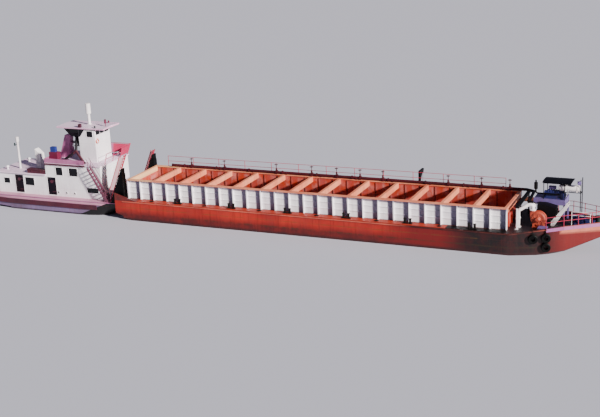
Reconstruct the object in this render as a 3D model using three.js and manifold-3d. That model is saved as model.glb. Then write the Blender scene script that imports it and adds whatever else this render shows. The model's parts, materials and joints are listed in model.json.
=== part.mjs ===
// Sand dredger at half size: a hopper barge with a dredge pump on its bow, and the
// pusher that is lashed behind it. +X is forward, +Y port, +Z up. The origin is on
// the waterline, on the centreline, at the middle of the hopper.
// All dimensions below are real metres. One real metre is 500 mm in the model.

import * as THREE from 'three'
import { mergeVertices } from 'three/addons/utils/BufferGeometryUtils.js'
import Module from 'manifold-3d'

const wasm = await Module()
wasm.setup()

const metre = 500
const gap = 0.0006
const runningGap = 0.0014

// Driving dimensions of the barge
const bayLength = 1.4
const bayCount = 26
const hopperHalfLength = bayLength * bayCount / 2
const bargeDeck = 1.87
const coamingTop = 3.75
const bargeHalfBeam = 3.62
const coamingOuter = 2.78
const coamingPlateOuter = 2.56
const coamingPlateInner = 2.5
const topFlange = 0.08
const bargeKeel = -0.7
const transom = -18.4
const bowKnuckle = 18.6
const bowShoulder = 22.8
const bowTip = 25.9
const rim = { shoulder: 2.4, tip: 2.52 }
const bar = i => -hopperHalfLength + bayLength * (i + 1)

// Driving dimensions of the pusher
const pusherDeck = 1.4
const pusherStem = -19.3
const houseHalf = 2.5
const wall = 0.06
const house = { aft: -33.6, fore: -27.7, top: 3.45 }
const block = { aft: -27.7, fore: -21.3, top: 4.65 }
const tower = { aft: -24.2, fore: -22.35, half: 1.3, foot: 4.75, top: 8.05 }
const roofSlab = 0.1
const blockRoofTop = block.top + roofSlab + gap
const houseRoofTop = house.top + roofSlab + gap
const shaftZ = -0.65
const shaftY = 1.3
const counterZ = 0.1

// Finishes
const finish = (color, roughness, metalness = 0) =>
  new THREE.MeshStandardMaterial({ color, roughness, metalness })
const hullRed = finish(0x9c3028, 0.7)
const coamingWhite = finish(0xece6ea, 0.6)
const rustPeach = finish(0xd08a78, 0.75)
const pipeMaroon = finish(0x66222a, 0.6)
const bittBlack = finish(0x151214, 0.6)
const pumpSalmon = finish(0xc8604a, 0.6)
const pipeWhite = finish(0xf0e8ea, 0.5)
const engineBlue = finish(0x1c1c4a, 0.5)
const sootBlack = finish(0x100c10, 0.8)
const tarpBlack = finish(0x0a0a14, 0.95)
const steelLilac = finish(0xa090b8, 0.6)
const houseWhite = finish(0xf6f2f6, 0.55)
const roofLilac = finish(0xd0c6d8, 0.6)
const hullLilac = finish(0x62506a, 0.65)
const railMaroon = finish(0x4a0c28, 0.6)
const railRed = finish(0xa03050, 0.55)
const rubberBlack = finish(0x0c0609, 0.9)
const doorDark = finish(0x1c1022, 0.6)
const lockerPink = finish(0x9a2560, 0.6)
const bronze = finish(0x8a6a34, 0.4, 0.8)
const steelRust = finish(0x5a3a34, 0.7, 0.4)
const stairRose = finish(0xc08890, 0.6)

// Making and joining solids. Points are rounded to a hundredth of a millimetre, so that
// faces that should lie in one plane do.
const rounded = v => Math.round(v * 1e5) / 1e5

function solidOf(source) {
  source.deleteAttribute('normal')
  source.deleteAttribute('uv')
  const merged = mergeVertices(source, 1e-5)
  return new wasm.Manifold(new wasm.Mesh({
    numProp: 3,
    vertProperties: Float32Array.from(merged.attributes.position.array, rounded),
    triVerts: Uint32Array.from(merged.index.array),
  }))
}

const join = solids => solids.reduce((whole, next) => whole.add(next))
const cut = (whole, tools) => tools.reduce((left, tool) => left.subtract(tool), whole)

function box([x0, x1], [y0, y1], [z0, z1]) {
  const shape = new THREE.BoxGeometry(x1 - x0, y1 - y0, z1 - z0)
  shape.translate((x0 + x1) / 2, (y0 + y1) / 2, (z0 + z1) / 2)
  return solidOf(shape)
}

// A flat outline pushed along an axis: (y, z) along x, (x, z) along y, (x, y) along z
const outlineTurn = {
  x: [[0, 1, 0], [0, 0, 1], [1, 0, 0]],
  y: [[1, 0, 0], [0, 0, 1], [0, -1, 0]],
  z: [[1, 0, 0], [0, 1, 0], [0, 0, 1]],
}

function prism(outline, axis, [from, to]) {
  const shape = new THREE.Shape(outline.map(([a, b]) => new THREE.Vector2(a, b)))
  const body = new THREE.ExtrudeGeometry(shape, { depth: to - from, bevelEnabled: false })
  const [side, up, push] = outlineTurn[axis].map(v => new THREE.Vector3(...v))
  body.applyMatrix4(new THREE.Matrix4().makeBasis(side, up, push))
  const start = axis === 'y' ? to : from
  body.translate(axis === 'x' ? start : 0, axis === 'y' ? start : 0, axis === 'z' ? start : 0)
  return solidOf(body)
}

function rod(from, to, radius, sides = 6, endRadius = radius) {
  const a = new THREE.Vector3(...from)
  const b = new THREE.Vector3(...to)
  const body = new THREE.CylinderGeometry(endRadius, radius, a.distanceTo(b), sides)
  const turn = new THREE.Quaternion().setFromUnitVectors(
    new THREE.Vector3(0, 1, 0), b.clone().sub(a).normalize())
  body.applyQuaternion(turn)
  body.translate(...a.add(b).multiplyScalar(0.5).toArray())
  return solidOf(body)
}

// A pipe along straight runs with rounded bends: one ring of points at each end of a
// run and at each step of a bend, every ring square to the pipe there
function pipe(points, radius, bend, sides = 10, bendSteps = 4) {
  const corners = points.map(p => new THREE.Vector3(...p))
  const line = [corners[0]]
  for (let i = 1; i < corners.length - 1; i++) {
    const towards = next => corners[i].clone().add(next.clone().sub(corners[i]).setLength(bend))
    const curve = new THREE.QuadraticBezierCurve3(
      towards(corners[i - 1]), corners[i], towards(corners[i + 1]))
    line.push(...curve.getPoints(bendSteps))
  }
  line.push(corners.at(-1))
  let across = new THREE.Vector3()
  const rings = line.map((point, i) => {
    const ahead = line[Math.min(i + 1, line.length - 1)].clone()
    const tangent = ahead.sub(line[Math.max(i - 1, 0)]).normalize()
    if (i === 0) across.set(tangent.z, tangent.x, tangent.y).cross(tangent)
    across = across.addScaledVector(tangent, -across.dot(tangent)).normalize()
    const up = tangent.clone().cross(across)
    return Array.from({ length: sides }, (_, k) => k * 2 * Math.PI / sides).map(turn =>
      point.clone().addScaledVector(across, radius * Math.cos(turn))
        .addScaledVector(up, radius * Math.sin(turn)).toArray())
  })
  return loft(rings)
}

// Six times the volume within the triangles, negative when they face inwards
function volumeWithin(points, triangles) {
  let sum = 0
  for (let t = 0; t < triangles.length; t += 3) {
    const [a, b, c] = [0, 1, 2].map(k => new THREE.Vector3(...points[triangles[t + k]]))
    sum += a.dot(b.cross(c))
  }
  return sum
}

// A closed body through rings of points
function loft(rings) {
  const n = rings[0].length
  const triangles = []
  for (let r = 0; r < rings.length - 1; r++) {
    for (let k = 0; k < n; k++) {
      const a = r * n + k
      const b = r * n + (k + 1) % n
      triangles.push(a, b + n, b, a, a + n, b + n)
    }
  }
  const last = (rings.length - 1) * n
  for (let k = 1; k < n - 1; k++) triangles.push(0, k, k + 1, last, last + k + 1, last + k)
  if (volumeWithin(rings.flat(), triangles) < 0) triangles.reverse()
  return new wasm.Manifold(new wasm.Mesh({
    numProp: 3,
    vertProperties: Float32Array.from(rings.flat(2), rounded),
    triVerts: Uint32Array.from(triangles),
  }))
}

// One side of a hull section, mirrored: deck edge, chine and keel edge
const hullRing = ([x, deckHalf, deckZ, chineHalf, chineZ, keelHalf, keelZ], grow = 0) => {
  const half = [[deckHalf + grow, deckZ], [chineHalf + grow, chineZ], [keelHalf, keelZ]]
  const port = half.map(([y, z]) => [x, y, z])
  const starboard = half.map(([y, z]) => [x, -y, z]).reverse()
  return [...port, ...starboard]
}

const dredger = new THREE.Group()

// Adds a solid, given in real metres around its own place, as a named mesh
function piece(name, solid, material, place = [0, 0, 0]) {
  const { vertProperties, triVerts } = solid.getMesh()
  const geometry = new THREE.BufferGeometry()
  geometry.setAttribute('position', new THREE.BufferAttribute(Float32Array.from(vertProperties), 3))
  geometry.setIndex(new THREE.BufferAttribute(Uint32Array.from(triVerts), 1))
  geometry.scale(metre, metre, metre)
  const mesh = new THREE.Mesh(geometry, material)
  mesh.name = name
  mesh.position.set(...place.map(v => v * metre))
  dredger.add(mesh)
}

const sides = [['starboard', -1], ['port', 1]]
const between = (side, inner, outer) => side < 0 ? [-outer, -inner] : [inner, outer]

// Barge hull
// Columns: x, deck half, deck z, chine half, chine z, keel half, keel z
const bargeSections = [
  [transom, bargeHalfBeam, bargeDeck, bargeHalfBeam, 0.25, 3.4, 0.05],
  [-15.6, bargeHalfBeam, bargeDeck, bargeHalfBeam, -0.45, 3.37, bargeKeel],
  [18.0, bargeHalfBeam, bargeDeck, bargeHalfBeam, -0.45, 3.37, bargeKeel],
  [bowKnuckle, bargeHalfBeam, bargeDeck, bargeHalfBeam, -0.36, 3.3, -0.6],
  [bowShoulder, 2.2, rim.shoulder, 2.15, 0.38, 1.95, 0.25],
  [bowTip, 0.45, rim.tip, 0.42, 1.5, 0.35, 1.42],
]
const bulwark = 0.13
const well = {
  aft: -17.9, sternFoot: -16.4, fore: 17.9, half: 2.44, floorHalf: 1.6, floor: -0.3, slope: 1.25, top: 2.2,
}

function bargeHull() {
  const shell = loft(bargeSections.map(row => hullRing(row)))
  // Stern wings that hold the pusher's knees between them, with a rising top
  const wingOutline = [
    [-16.9, 1.5], [-16.9, bargeDeck], [-19.2, 2.57], [-19.2, 0.62], [-18.3, 0.35], [-17.6, 0.3],
  ]
  const wings = sides.map(([, side]) =>
    prism(wingOutline, 'y', between(side, bargeHalfBeam - bulwark, bargeHalfBeam)))
  const deckEdge = [[bowKnuckle - 0.2, bargeHalfBeam - bulwark],
    [bowShoulder - 0.05, 2.05], [bowTip - 0.15, 0.28]]
  const foredeck = prism([...deckEdge, ...deckEdge.map(([x, y]) => [x, -y]).reverse()],
    'z', [bargeDeck, 3])
  // Cargo well with sloping lower sides, its aft end rising over the raked stern
  const wellRing = (x, floor) => {
    const half = [[well.half, well.top], [well.half, floor + well.slope], [well.floorHalf, floor]]
    return [...half.map(([y, z]) => [x, -y, z]), ...half.reverse().map(([y, z]) => [x, y, z])]
  }
  const cargoWell = loft([
    wellRing(well.aft, 0.6), wellRing(well.sternFoot, well.floor), wellRing(well.fore, well.floor)])
  return cut(join([shell, ...wings]), [foredeck, cargoWell])
}
piece('barge_hull', bargeHull(), hullRed)

// Coamings: a plate with an upright stiffener at each bay
const stiffener = 0.08

function sideCoaming(side) {
  const z = [bargeDeck + gap, coamingTop - topFlange - gap]
  const plate = box([-hopperHalfLength, hopperHalfLength],
    between(side, coamingPlateInner, coamingPlateOuter), z)
  const stiffenerOutline = [
    [coamingPlateOuter - 0.01, z[0]], [coamingOuter, z[0]],
    [coamingOuter, z[1]], [coamingPlateOuter - 0.01, z[1]],
  ].map(([y, height]) => [side * y, height])
  const places = Array.from({ length: bayCount - 1 }, (_, i) => bar(i))
  const stiffeners = places.map(x => prism(stiffenerOutline, 'x', [x - stiffener / 2, x + stiffener / 2]))
  const ends = [-hopperHalfLength, hopperHalfLength - stiffener].map(x =>
    prism(stiffenerOutline, 'x', [x, x + stiffener]))
  return join([plate, ...stiffeners, ...ends])
}
for (const [name, side] of sides) piece(`coaming_${name}`, sideCoaming(side), coamingWhite)

function endCoaming(x, outward) {
  const half = coamingPlateInner - gap
  const z = [bargeDeck + gap, coamingTop - 0.5 - gap]
  const plate = box(outward > 0 ? [x - wall, x] : [x, x + wall], [-half, half], z)
  const posts = [-1.65, -0.55, 0.55, 1.65].map(y =>
    box(outward > 0 ? [x - 0.01, x + 0.14] : [x - 0.14, x + 0.01],
      [y - stiffener / 2, y + stiffener / 2], z))
  return join([plate, ...posts])
}
piece('coaming_aft', endCoaming(-hopperHalfLength + 0.15, -1), coamingWhite)
piece('coaming_fore', endCoaming(hopperHalfLength - 0.15, 1), coamingWhite)

// Top flanges of both coamings, joined by the deep crossbeams over the hopper
const crossbeamBars = Array.from({ length: 12 }, (_, i) => 2 * i + 1)
const crossbeam = { half: 0.12, depth: 0.5, belowRail: 0.01 }

function hopperTopFrame() {
  const flanges = sides.map(([, side]) => box([-hopperHalfLength, hopperHalfLength],
    between(side, 2.44, 2.8), [coamingTop - topFlange, coamingTop]))
  const inside = coamingPlateInner - gap
  const depth = [coamingTop - crossbeam.depth, coamingTop - crossbeam.belowRail]
  const beams = crossbeamBars.map(i =>
    box([bar(i) - crossbeam.half, bar(i) + crossbeam.half], [-inside, inside], depth))
  const end = hopperHalfLength - crossbeam.belowRail
  const endWidth = 2 * crossbeam.half
  const ends = [[-end, -end + endWidth], [end - endWidth, end]].map(x => box(x, [-inside, inside], depth))
  return join([...flanges, ...beams, ...ends])
}
piece('hopper_top_frame', hopperTopFrame(), rustPeach)

// Side decks with their double bitts
const bittBars = [3, 7, 11, 15, 19, 23]
const bittY = 3.2
const sideDeckTop = bargeDeck + 0.03

function sideDeck(side) {
  const plate = box([-16.85, hopperHalfLength], between(side, 2.82, 3.58),
    [bargeDeck + gap, sideDeckTop])
  const bitts = bittBars.flatMap(i => {
    const base = box([bar(i) - 0.42, bar(i) + 0.42], between(side, bittY - 0.16, bittY + 0.16),
      [sideDeckTop - 0.01, sideDeckTop + 0.06])
    const posts = [-0.24, 0.24].flatMap(dx => [
      rod([bar(i) + dx, side * bittY, sideDeckTop], [bar(i) + dx, side * bittY, 2.32], 0.11, 8),
      rod([bar(i) + dx, side * bittY, 2.3], [bar(i) + dx, side * bittY, 2.36], 0.14, 8),
    ])
    return [base, ...posts]
  })
  return join([plate, ...bitts])
}
for (const [name, side] of sides) piece(`side_deck_${name}`, sideDeck(side), bittBlack)

// Pump on the bow deck: a volute on its side with the outlet upwards
const pump = { x: 20.5, z: 2.62, radius: 0.62, y: [-1.45, -0.95] }
const outlet = { x: 20.02, y: -1.2, half: 0.18, flange: 0.26, top: 3.3 }
const eye = { face: -0.75, flange: 0.3 }

function pumpCasing() {
  const volute = rod([pump.x, pump.y[0], pump.z], [pump.x, pump.y[1], pump.z], pump.radius, 24)
  const rim = rod([pump.x, -1.3, pump.z], [pump.x, -1.1, pump.z], pump.radius + 0.05, 24)
  const neck = box([outlet.x - outlet.half, outlet.x + outlet.half],
    [outlet.y - outlet.half, outlet.y + outlet.half], [pump.z, outlet.top - 0.06])
  const outletFlange = rod([outlet.x, outlet.y, outlet.top - 0.08],
    [outlet.x, outlet.y, outlet.top], outlet.flange, 16)
  const eyeRing = rod([pump.x, pump.y[1] - 0.05, pump.z], [pump.x, eye.face, pump.z], eye.flange, 16)
  const shaftHousing = rod([pump.x, -1.75, pump.z], [pump.x, -1.4, pump.z], 0.2, 16)
  const feet = box([20.0, 21.0], [-1.5, -0.9], [bargeDeck + gap, 2.2])
  return join([volute, rim, neck, outletFlange, eyeRing, shaftHousing, feet])
}
piece('pump_casing', pumpCasing(), pumpSalmon)

// Discharge: up from the pump, over and down to the deck, with a branch face to port
const branch = { x: outlet.x, top: 3.78, z: 3.66, face: -1.0, radius: 0.12, flange: 0.2 }
const dischargeRadius = 0.15

function dischargePipe() {
  const foot = [18.9, -1.6]
  const run = pipe([[outlet.x, outlet.y, outlet.top + gap], [outlet.x, outlet.y, branch.top],
    [19.6, -1.25, 3.72], [...foot, 3.3], [...foot, bargeDeck + 0.03]], dischargeRadius, 0.14)
  const outletFlange = rod([outlet.x, outlet.y, outlet.top + gap],
    [outlet.x, outlet.y, outlet.top + 0.07], outlet.flange, 16)
  const footFlange = rod([...foot, bargeDeck + gap], [...foot, bargeDeck + 0.07], 0.24, 16)
  const tee = rod([branch.x, outlet.y - 0.05, branch.z], [branch.x, branch.face, branch.z], branch.radius, 10)
  const teeFlange = rod([branch.x, branch.face - 0.06, branch.z],
    [branch.x, branch.face, branch.z], branch.flange, 16)
  return join([run, outletFlange, footFlange, tee, teeFlange])
}
piece('discharge_pipe', dischargePipe(), pipeWhite)

// Loading pipe along the port coaming, with valve posts at uneven places
const loadingPipe = { y: 2.58, z: 3.91, radius: 0.13 }
const valvePosts = [-14.1, -10.5, -5.0, -1.4, 1.1, 3.4, 5.6, 11.7, 14.7, 17.2]

function loadingLine() {
  const { y, z, radius } = loadingPipe
  const start = branch.face + gap
  const line = pipe([[branch.x, start, branch.z], [branch.x, -0.5, branch.z], [19.4, -0.1, branch.z],
    [19.4, 2.2, z], [18.7, y, z], [-16.2, y, z]], radius, 0.2)
  const flange = rod([branch.x, start, branch.z], [branch.x, start + 0.06, branch.z], branch.flange, 16)
  const cap = rod([-16.2, y, z], [-16.26, y, z], 0.155, 12)
  const valves = valvePosts.flatMap(x => [
    box([x - 0.14, x + 0.14], [y - 0.15, y + 0.15], [coamingTop + gap, z + 0.2]),
    rod([x, y, z + 0.1], [x, y, 4.7], 0.06, 6),
    rod([x, y, 4.62], [x, y, 4.68], 0.16, 8),
  ])
  return join([line, flange, cap, ...valves])
}
piece('loading_pipe', loadingLine(), pipeMaroon)

// Handrail along the port coaming's outer edge
function portHandrail() {
  const y = 2.765
  const top = 4.75
  const from = bar(0)
  const to = bar(24)
  const posts = Array.from({ length: 13 }, (_, i) => bar(2 * i)).map(x =>
    rod([x, y, coamingTop + gap], [x, y, top], 0.025, 6))
  const rails = [4.25, top].map(z => rod([from - 0.02, y, z], [to + 0.02, y, z], 0.022, 6))
  return join([...posts, ...rails])
}
piece('port_handrail', portHandrail(), railRed)

// Suction: fixed pipe across the deck, then a pipe that swings down along the port side
const trunnion = { x: 20.5, y: 3.72, z: 2.62 }
const suction = { y: 4.02, radius: 0.2, hoistX: 8.9, headX: 7.1 }

function suctionInlet() {
  const { x, y, z } = trunnion
  const run = rod([x, eye.face + gap, z], [x, y - gap, z], suction.radius, 14)
  const inner = rod([x, eye.face + gap, z], [x, eye.face + 0.07, z], eye.flange, 16)
  const outer = rod([x, y - 0.09, z], [x, y - gap, z], 0.32, 18)
  const saddles = [0.2, 2.35].map(at =>
    box([x - 0.26, x + 0.26], [at - 0.12, at + 0.12], [bargeDeck + gap, z]))
  return join([run, inner, outer, ...saddles])
}
piece('suction_inlet', suctionInlet(), steelRust)

// The swinging pipe, around its trunnion
function suctionPipe() {
  const y = suction.y - trunnion.y
  const reach = suction.headX - trunnion.x
  const hoist = suction.hoistX - trunnion.x
  const swivel = rod([0, gap, 0], [0, y + 0.26, 0], 0.34, 18)
  const run = rod([0, y, 0], [reach + 0.35, y, 0], suction.radius, 14)
  const neck = box([reach + 0.1, reach + 0.5], [y - 0.14, y + 0.14], [-0.14, 0.14])
  const flanges = [-4.5, -9].map(x => rod([x - 0.06, y, 0], [x + 0.06, y, 0], 0.29, 16))
  const band = rod([hoist - 0.12, y, 0], [hoist + 0.12, y, 0], 0.25, 14)
  const lug = cut(box([hoist - 0.14, hoist + 0.14], [y - 0.04, y + 0.04], [0.15, 0.5]),
    [rod([hoist, y - 0.1, 0.38], [hoist, y + 0.1, 0.38], 0.06, 8)])
  const knuckle = rod([reach, y - 0.14, 0], [reach, y + 0.14, 0], 0.26, 16)
  return join([swivel, run, neck, ...flanges, band, lug, knuckle])
}
piece('suction_pipe', suctionPipe(), steelRust, [trunnion.x, trunnion.y, trunnion.z])

// The drag head, around its own pivot: two cheeks, a flared hood and teeth along its lip
function dragHead() {
  const cheeks = [[-0.27, -0.16], [0.16, 0.27]].map(y => prism([
    [0.12, -0.16], [0.12, 0.16], [-0.34, 0.2], [-0.34, -0.2],
  ], 'y', y))
  const bosses = sides.map(([, side]) =>
    rod([0, side * (0.14 + gap), 0], [0, side * 0.17, 0], 0.12, 12))
  const hood = loft([
    [[-1.3, -0.3, -0.42], [-1.3, 0.3, -0.42], [-1.3, 0.3, 0.12], [-1.3, -0.3, 0.12]],
    [[-0.3, -0.27, -0.2], [-0.3, 0.27, -0.2], [-0.3, 0.27, 0.2], [-0.3, -0.27, 0.2]],
  ])
  const mouth = box([-1.2, -0.5], [-0.24, 0.24], [-0.6, -0.12])
  const teeth = [-0.24, -0.08, 0.08, 0.24].map(y =>
    box([-1.42, -1.28], [y - 0.03, y + 0.03], [-0.42, -0.3]))
  return join([...cheeks, ...bosses, cut(hood, [mouth]), ...teeth])
}
piece('drag_head', dragHead(), steelRust, [suction.headX, suction.y, trunnion.z])

// Davit that holds the suction pipe's aft end
function hoistDavit() {
  const x = [suction.hoistX - 0.09, suction.hoistX + 0.09]
  const foot = box([x[0] - 0.12, x[1] + 0.12], [2.88, 3.3], [sideDeckTop + gap, sideDeckTop + 0.06])
  const post = box(x, [3.0, 3.18], [sideDeckTop + 0.05, 4.8])
  const arm = box(x, [3.0, 4.12], [4.62, 4.8])
  const brace = prism([[3.1, 3.9], [3.1, 4.1], [3.75, 4.68], [3.9, 4.68]], 'x', x)
  const sheave = rod([suction.hoistX - 0.05, suction.y, 4.55],
    [suction.hoistX + 0.05, suction.y, 4.55], 0.16, 14)
  return join([foot, post, arm, brace, sheave])
}
piece('hoist_davit', hoistDavit(), sootBlack)

// Platform over the bow deck that carries the pump engine
const platform = { x: [19.8, 22.4], y: [0, 1.9], top: 3.95, edge: 0.45 }

function pumpPlatform() {
  const { x, y, top, edge } = platform
  const plate = box(x, y, [top - 0.06, top])
  const rims = [
    box(x, [y[0], y[0] + 0.08], [top - edge, top]),
    box(x, [y[1] - 0.08, y[1]], [top - edge, top]),
    box([x[0], x[0] + 0.08], y, [top - edge, top]),
    box([x[1] - 0.08, x[1]], y, [top - edge, top]),
  ]
  const legs = [x[0], x[1] - 0.14].flatMap(lx => [y[0], y[1] - 0.14].map(ly =>
    box([lx, lx + 0.14], [ly, ly + 0.14], [bargeDeck + gap, top - 0.03])))
  return join([plate, ...rims, ...legs])
}
piece('pump_platform', pumpPlatform(), steelLilac)

// Pump engine: sump, block, heads, gearbox end and radiator
const engine = { x: [20.6, 22.3], y: [0.15, 1.05] }

function pumpEngine() {
  const base = platform.top + gap
  const [x0, x1] = engine.x
  const rails = [0.2, 0.9].map(y => box([x0, x1], [y, y + 0.1], [base, base + 0.12]))
  const sump = box([x0 + 0.3, x1 - 0.3], [0.38, 0.82], [base + 0.03, base + 0.25])
  const body = box([x0 + 0.15, x1 - 0.2], [0.28, 0.92], [base + 0.1, base + 0.5])
  const heads = Array.from({ length: 6 }, (_, i) => x0 + 0.25 + 0.21 * i).map(x =>
    box([x, x + 0.17], [0.4, 0.8], [base + 0.48, base + 0.66]))
  const bell = rod([x0, 0.6, base + 0.32], [x0 + 0.2, 0.6, base + 0.32], 0.3, 16)
  const radiator = box([x1 - 0.25, x1 - 0.02], engine.y, [base + 0.05, base + 0.55])
  return join([...rails, sump, body, ...heads, bell, radiator])
}
piece('pump_engine', pumpEngine(), engineBlue)

// Drive case between engine and pump, bolted to the platform's starboard edge. It is
// deeper at its fore end, past the pump's eye.
function driveCase() {
  const fore = 21.85
  const body = prism([[20.3, 2.98], [20.84, 2.98], [21.0, 2.7], [fore, 2.7],
    [fore, 3.5], [20.95, 3.72], [20.3, 3.72]], 'y', [-0.92, -gap])
  const cover = rod([fore - 0.01, -0.46, 3.12], [fore + 0.06, -0.46, 3.12], 0.28, 16)
  return join([body, cover])
}
piece('drive_case', driveCase(), sootBlack)

// Exhaust: manifold pipe along the block's top, then the upright stack
function engineExhaust() {
  const z = 4.38
  const y = 0.18
  const blockFace = 0.28 - gap
  const flanges = [20.93, 21.35, 21.77].map(x => rod([x, y, z], [x, blockFace, z], 0.05, 8))
  return join([
    pipe([[21.9, y, z], [19.95, y, z], [19.95, y, 5.5]], 0.07, 0.2, 10),
    rod([19.95, y, 4.75], [19.95, y, 5.3], 0.16, 12),
    ...flanges,
  ])
}
piece('engine_exhaust', engineExhaust(), sootBlack)

// Canopy and its frame, which also carries the fuel tank
const canopy = { x: [20.5, 22.9], y: [-0.1, 1.75], z: 5.35 }
const canopyPosts = { x: [20.62, 22.33], y: [0.06, 1.65] }
const forePosts = { x: 23.62, y: [0.2, 1.0], top: 5.75 }
const tank = { x: [21.8, 23.55], y: 0.42, z: 4.92, radius: 0.26, strapX: [22.4, 23.3] }
const bearer = { top: 4.65, depth: 0.06, offset: 0.2 }

function canopyFrame() {
  const tube = 0.03
  const top = canopy.z - tube
  const [aft, fore] = canopyPosts.x
  const [inner, outer] = canopyPosts.y
  const posts = canopyPosts.x.flatMap(x => canopyPosts.y.map(y =>
    rod([x, y, platform.top + gap], [x, y, top], 0.035, 6)))
  const tallPosts = forePosts.y.map(y =>
    rod([forePosts.x, y, bargeDeck + gap], [forePosts.x, y, forePosts.top], 0.04, 6))
  const rails = canopyPosts.y.map(y =>
    rod([aft - 0.05, y, top], [canopy.x[1] - 0.05, y, top], tube, 6))
  const crossRails = [aft, fore, canopy.x[1] - 0.1].map(x =>
    rod([x, inner - 0.06, top], [x, outer + 0.05, top], tube, 6))
  const bearers = [-1, 1].map(side => tank.y + side * bearer.offset).map(y =>
    box([fore - 0.03, forePosts.x + 0.04], [y - 0.03, y + 0.03], [bearer.top - bearer.depth, bearer.top]))
  const tieZ = bearer.top - bearer.depth - 0.02
  const ties = [rod([fore, inner - 0.06, tieZ], [fore, outer + 0.05, tieZ], tube, 6),
    rod([forePosts.x, 0.15, tieZ], [forePosts.x, 1.05, tieZ], tube, 6)]
  return join([...posts, ...tallPosts, ...rails, ...crossRails, ...bearers, ...ties])
}
piece('canopy_frame', canopyFrame(), sootBlack)

function canopySheet() {
  const [x0, x1] = canopy.x
  const [y0, y1] = canopy.y
  const sections = [0, 0.5, 1].map(t => {
    const x = x0 + (x1 - x0) * t
    return [[x, y0, canopy.z + gap], [x, y1, canopy.z + gap],
      [x, y1, canopy.z + 0.1], [x, (y0 + y1) / 2, canopy.z + 0.16], [x, y0, canopy.z + 0.1]]
  })
  return loft(sections)
}
piece('canopy', canopySheet(), tarpBlack)

function fuelTank() {
  const { x, y, z, radius, strapX } = tank
  const shell = rod([x[0], y, z], [x[1], y, z], radius, 20)
  const straps = strapX.map(at => rod([at - 0.03, y, z], [at + 0.03, y, z], radius + 0.01, 20))
  const saddle = strapX.map(at =>
    box([at - 0.05, at + 0.05], [y - 0.25, y + 0.25], [bearer.top + gap, z - 0.03]))
  const filler = rod([x[0] + 0.6, y, z], [x[0] + 0.6, y, z + radius + 0.08], 0.05, 10)
  return join([shell, ...straps, ...saddle, filler])
}
piece('fuel_tank', fuelTank(), pipeWhite)

// A ship's stair: two stringers with treads between them, rising with x from foot to head
function stair(foot, head, [y0, y1], treads, rail) {
  const [run, rise] = [head[0] - foot[0], head[1] - foot[1]]
  const stringerDepth = 0.18
  const toe = 0.25 * Math.sign(run)
  const along = (t, y, lift = 0) => [foot[0] + run * t, y, foot[1] + rise * t + lift]
  const outline = [foot, [foot[0] + toe, foot[1]], [head[0], head[1] - stringerDepth],
    head, [foot[0], foot[1] + stringerDepth]]
  const stringers = [[y0, y0 + 0.05], [y1 - 0.05, y1]].map(at => prism(outline, 'y', at))
  const steps = Array.from({ length: treads }, (_, i) => (i + 1) / (treads + 1)).map(t => {
    const [x, , z] = along(t, y0)
    return box([x - 0.11, x + 0.11], [y0 + 0.02, y1 - 0.02], [z - 0.02, z + 0.02])
  })
  const rails = rail === 0 ? [] : [y0 + 0.025, y1 - 0.025].flatMap(at => [
    rod(along(0.08, at, rail), along(1, at, rail - 0.05), 0.025, 6),
    rod(along(0.1, at), along(0.1, at, rail), 0.025, 6),
    rod(along(0.92, at, -0.02), along(0.92, at, rail), 0.025, 6),
  ])
  return join([...stringers, ...steps, ...rails])
}
piece('platform_stair', stair([21.4, bargeDeck + gap], [22.8, 3.8], [-0.62, -0.02], 7, 0), pipeWhite)

// Bow winch and double bitts on one bed plate
function bowWinch() {
  const deck = bargeDeck + gap
  const bittTop = 2.48
  const bed = box([23.0, 25.0], [-0.6, 0.1], [deck, deck + 0.05])
  const frames = [-0.5, -0.06].map(y => prism([
    [23.2, deck + 0.03], [24.3, deck + 0.03], [24.05, 2.85], [23.45, 2.85],
  ], 'y', [y, y + 0.06]))
  const drum = rod([23.75, -0.5, 2.6], [23.75, -0.04, 2.6], 0.24, 16)
  const motor = box([24.0, 24.5], [-0.5, 0.0], [deck + 0.03, 2.5])
  const cover = box([23.1, 23.55], [-0.42, -0.06], [deck + 0.03, 2.9])
  const bitts = [-0.42, -0.08].flatMap(y => [
    rod([24.8, y, deck + 0.03], [24.8, y, bittTop - 0.03], 0.1, 10),
    rod([24.8, y, bittTop - 0.06], [24.8, y, bittTop], 0.13, 10),
  ])
  return join([bed, ...frames, drum, motor, cover, ...bitts])
}
piece('bow_winch', bowWinch(), engineBlue)

// Railing around the bow on the bulwark's rim, with the jackstaff at its tip
const rimHeight = x => x < bowShoulder
  ? bargeDeck + (rim.shoulder - bargeDeck) * (x - bowKnuckle) / (bowShoulder - bowKnuckle)
  : rim.shoulder + (rim.tip - rim.shoulder) * (x - bowShoulder) / (bowTip - bowShoulder)
// Columns: x, y of the posts on the port side
const railPosts = [[21.4, 2.61], [22.75, 2.15], [23.8, 1.56], [24.8, 0.99], [25.82, 0.38]]

function bowRailing() {
  const height = 0.95
  const route = [...railPosts, ...railPosts.map(([x, y]) => [x, -y]).reverse()]
  const posts = route.map(([x, y]) =>
    rod([x, y, rimHeight(x) + 0.004], [x, y, rimHeight(x) + height], 0.03, 6))
  const rails = [0.5, height - 0.03].flatMap(lift => route.slice(1).map(([x, y], i) => {
    const [fromX, fromY] = route[i]
    return rod([fromX, fromY, rimHeight(fromX) + lift], [x, y, rimHeight(x) + lift], 0.026, 6)
  }))
  const staff = rod([25.82, 0, rimHeight(25.82) + 0.004], [25.82, 0, 4.9], 0.035, 8)
  return join([...posts, ...rails, staff])
}
piece('bow_railing', bowRailing(), railRed)

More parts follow.
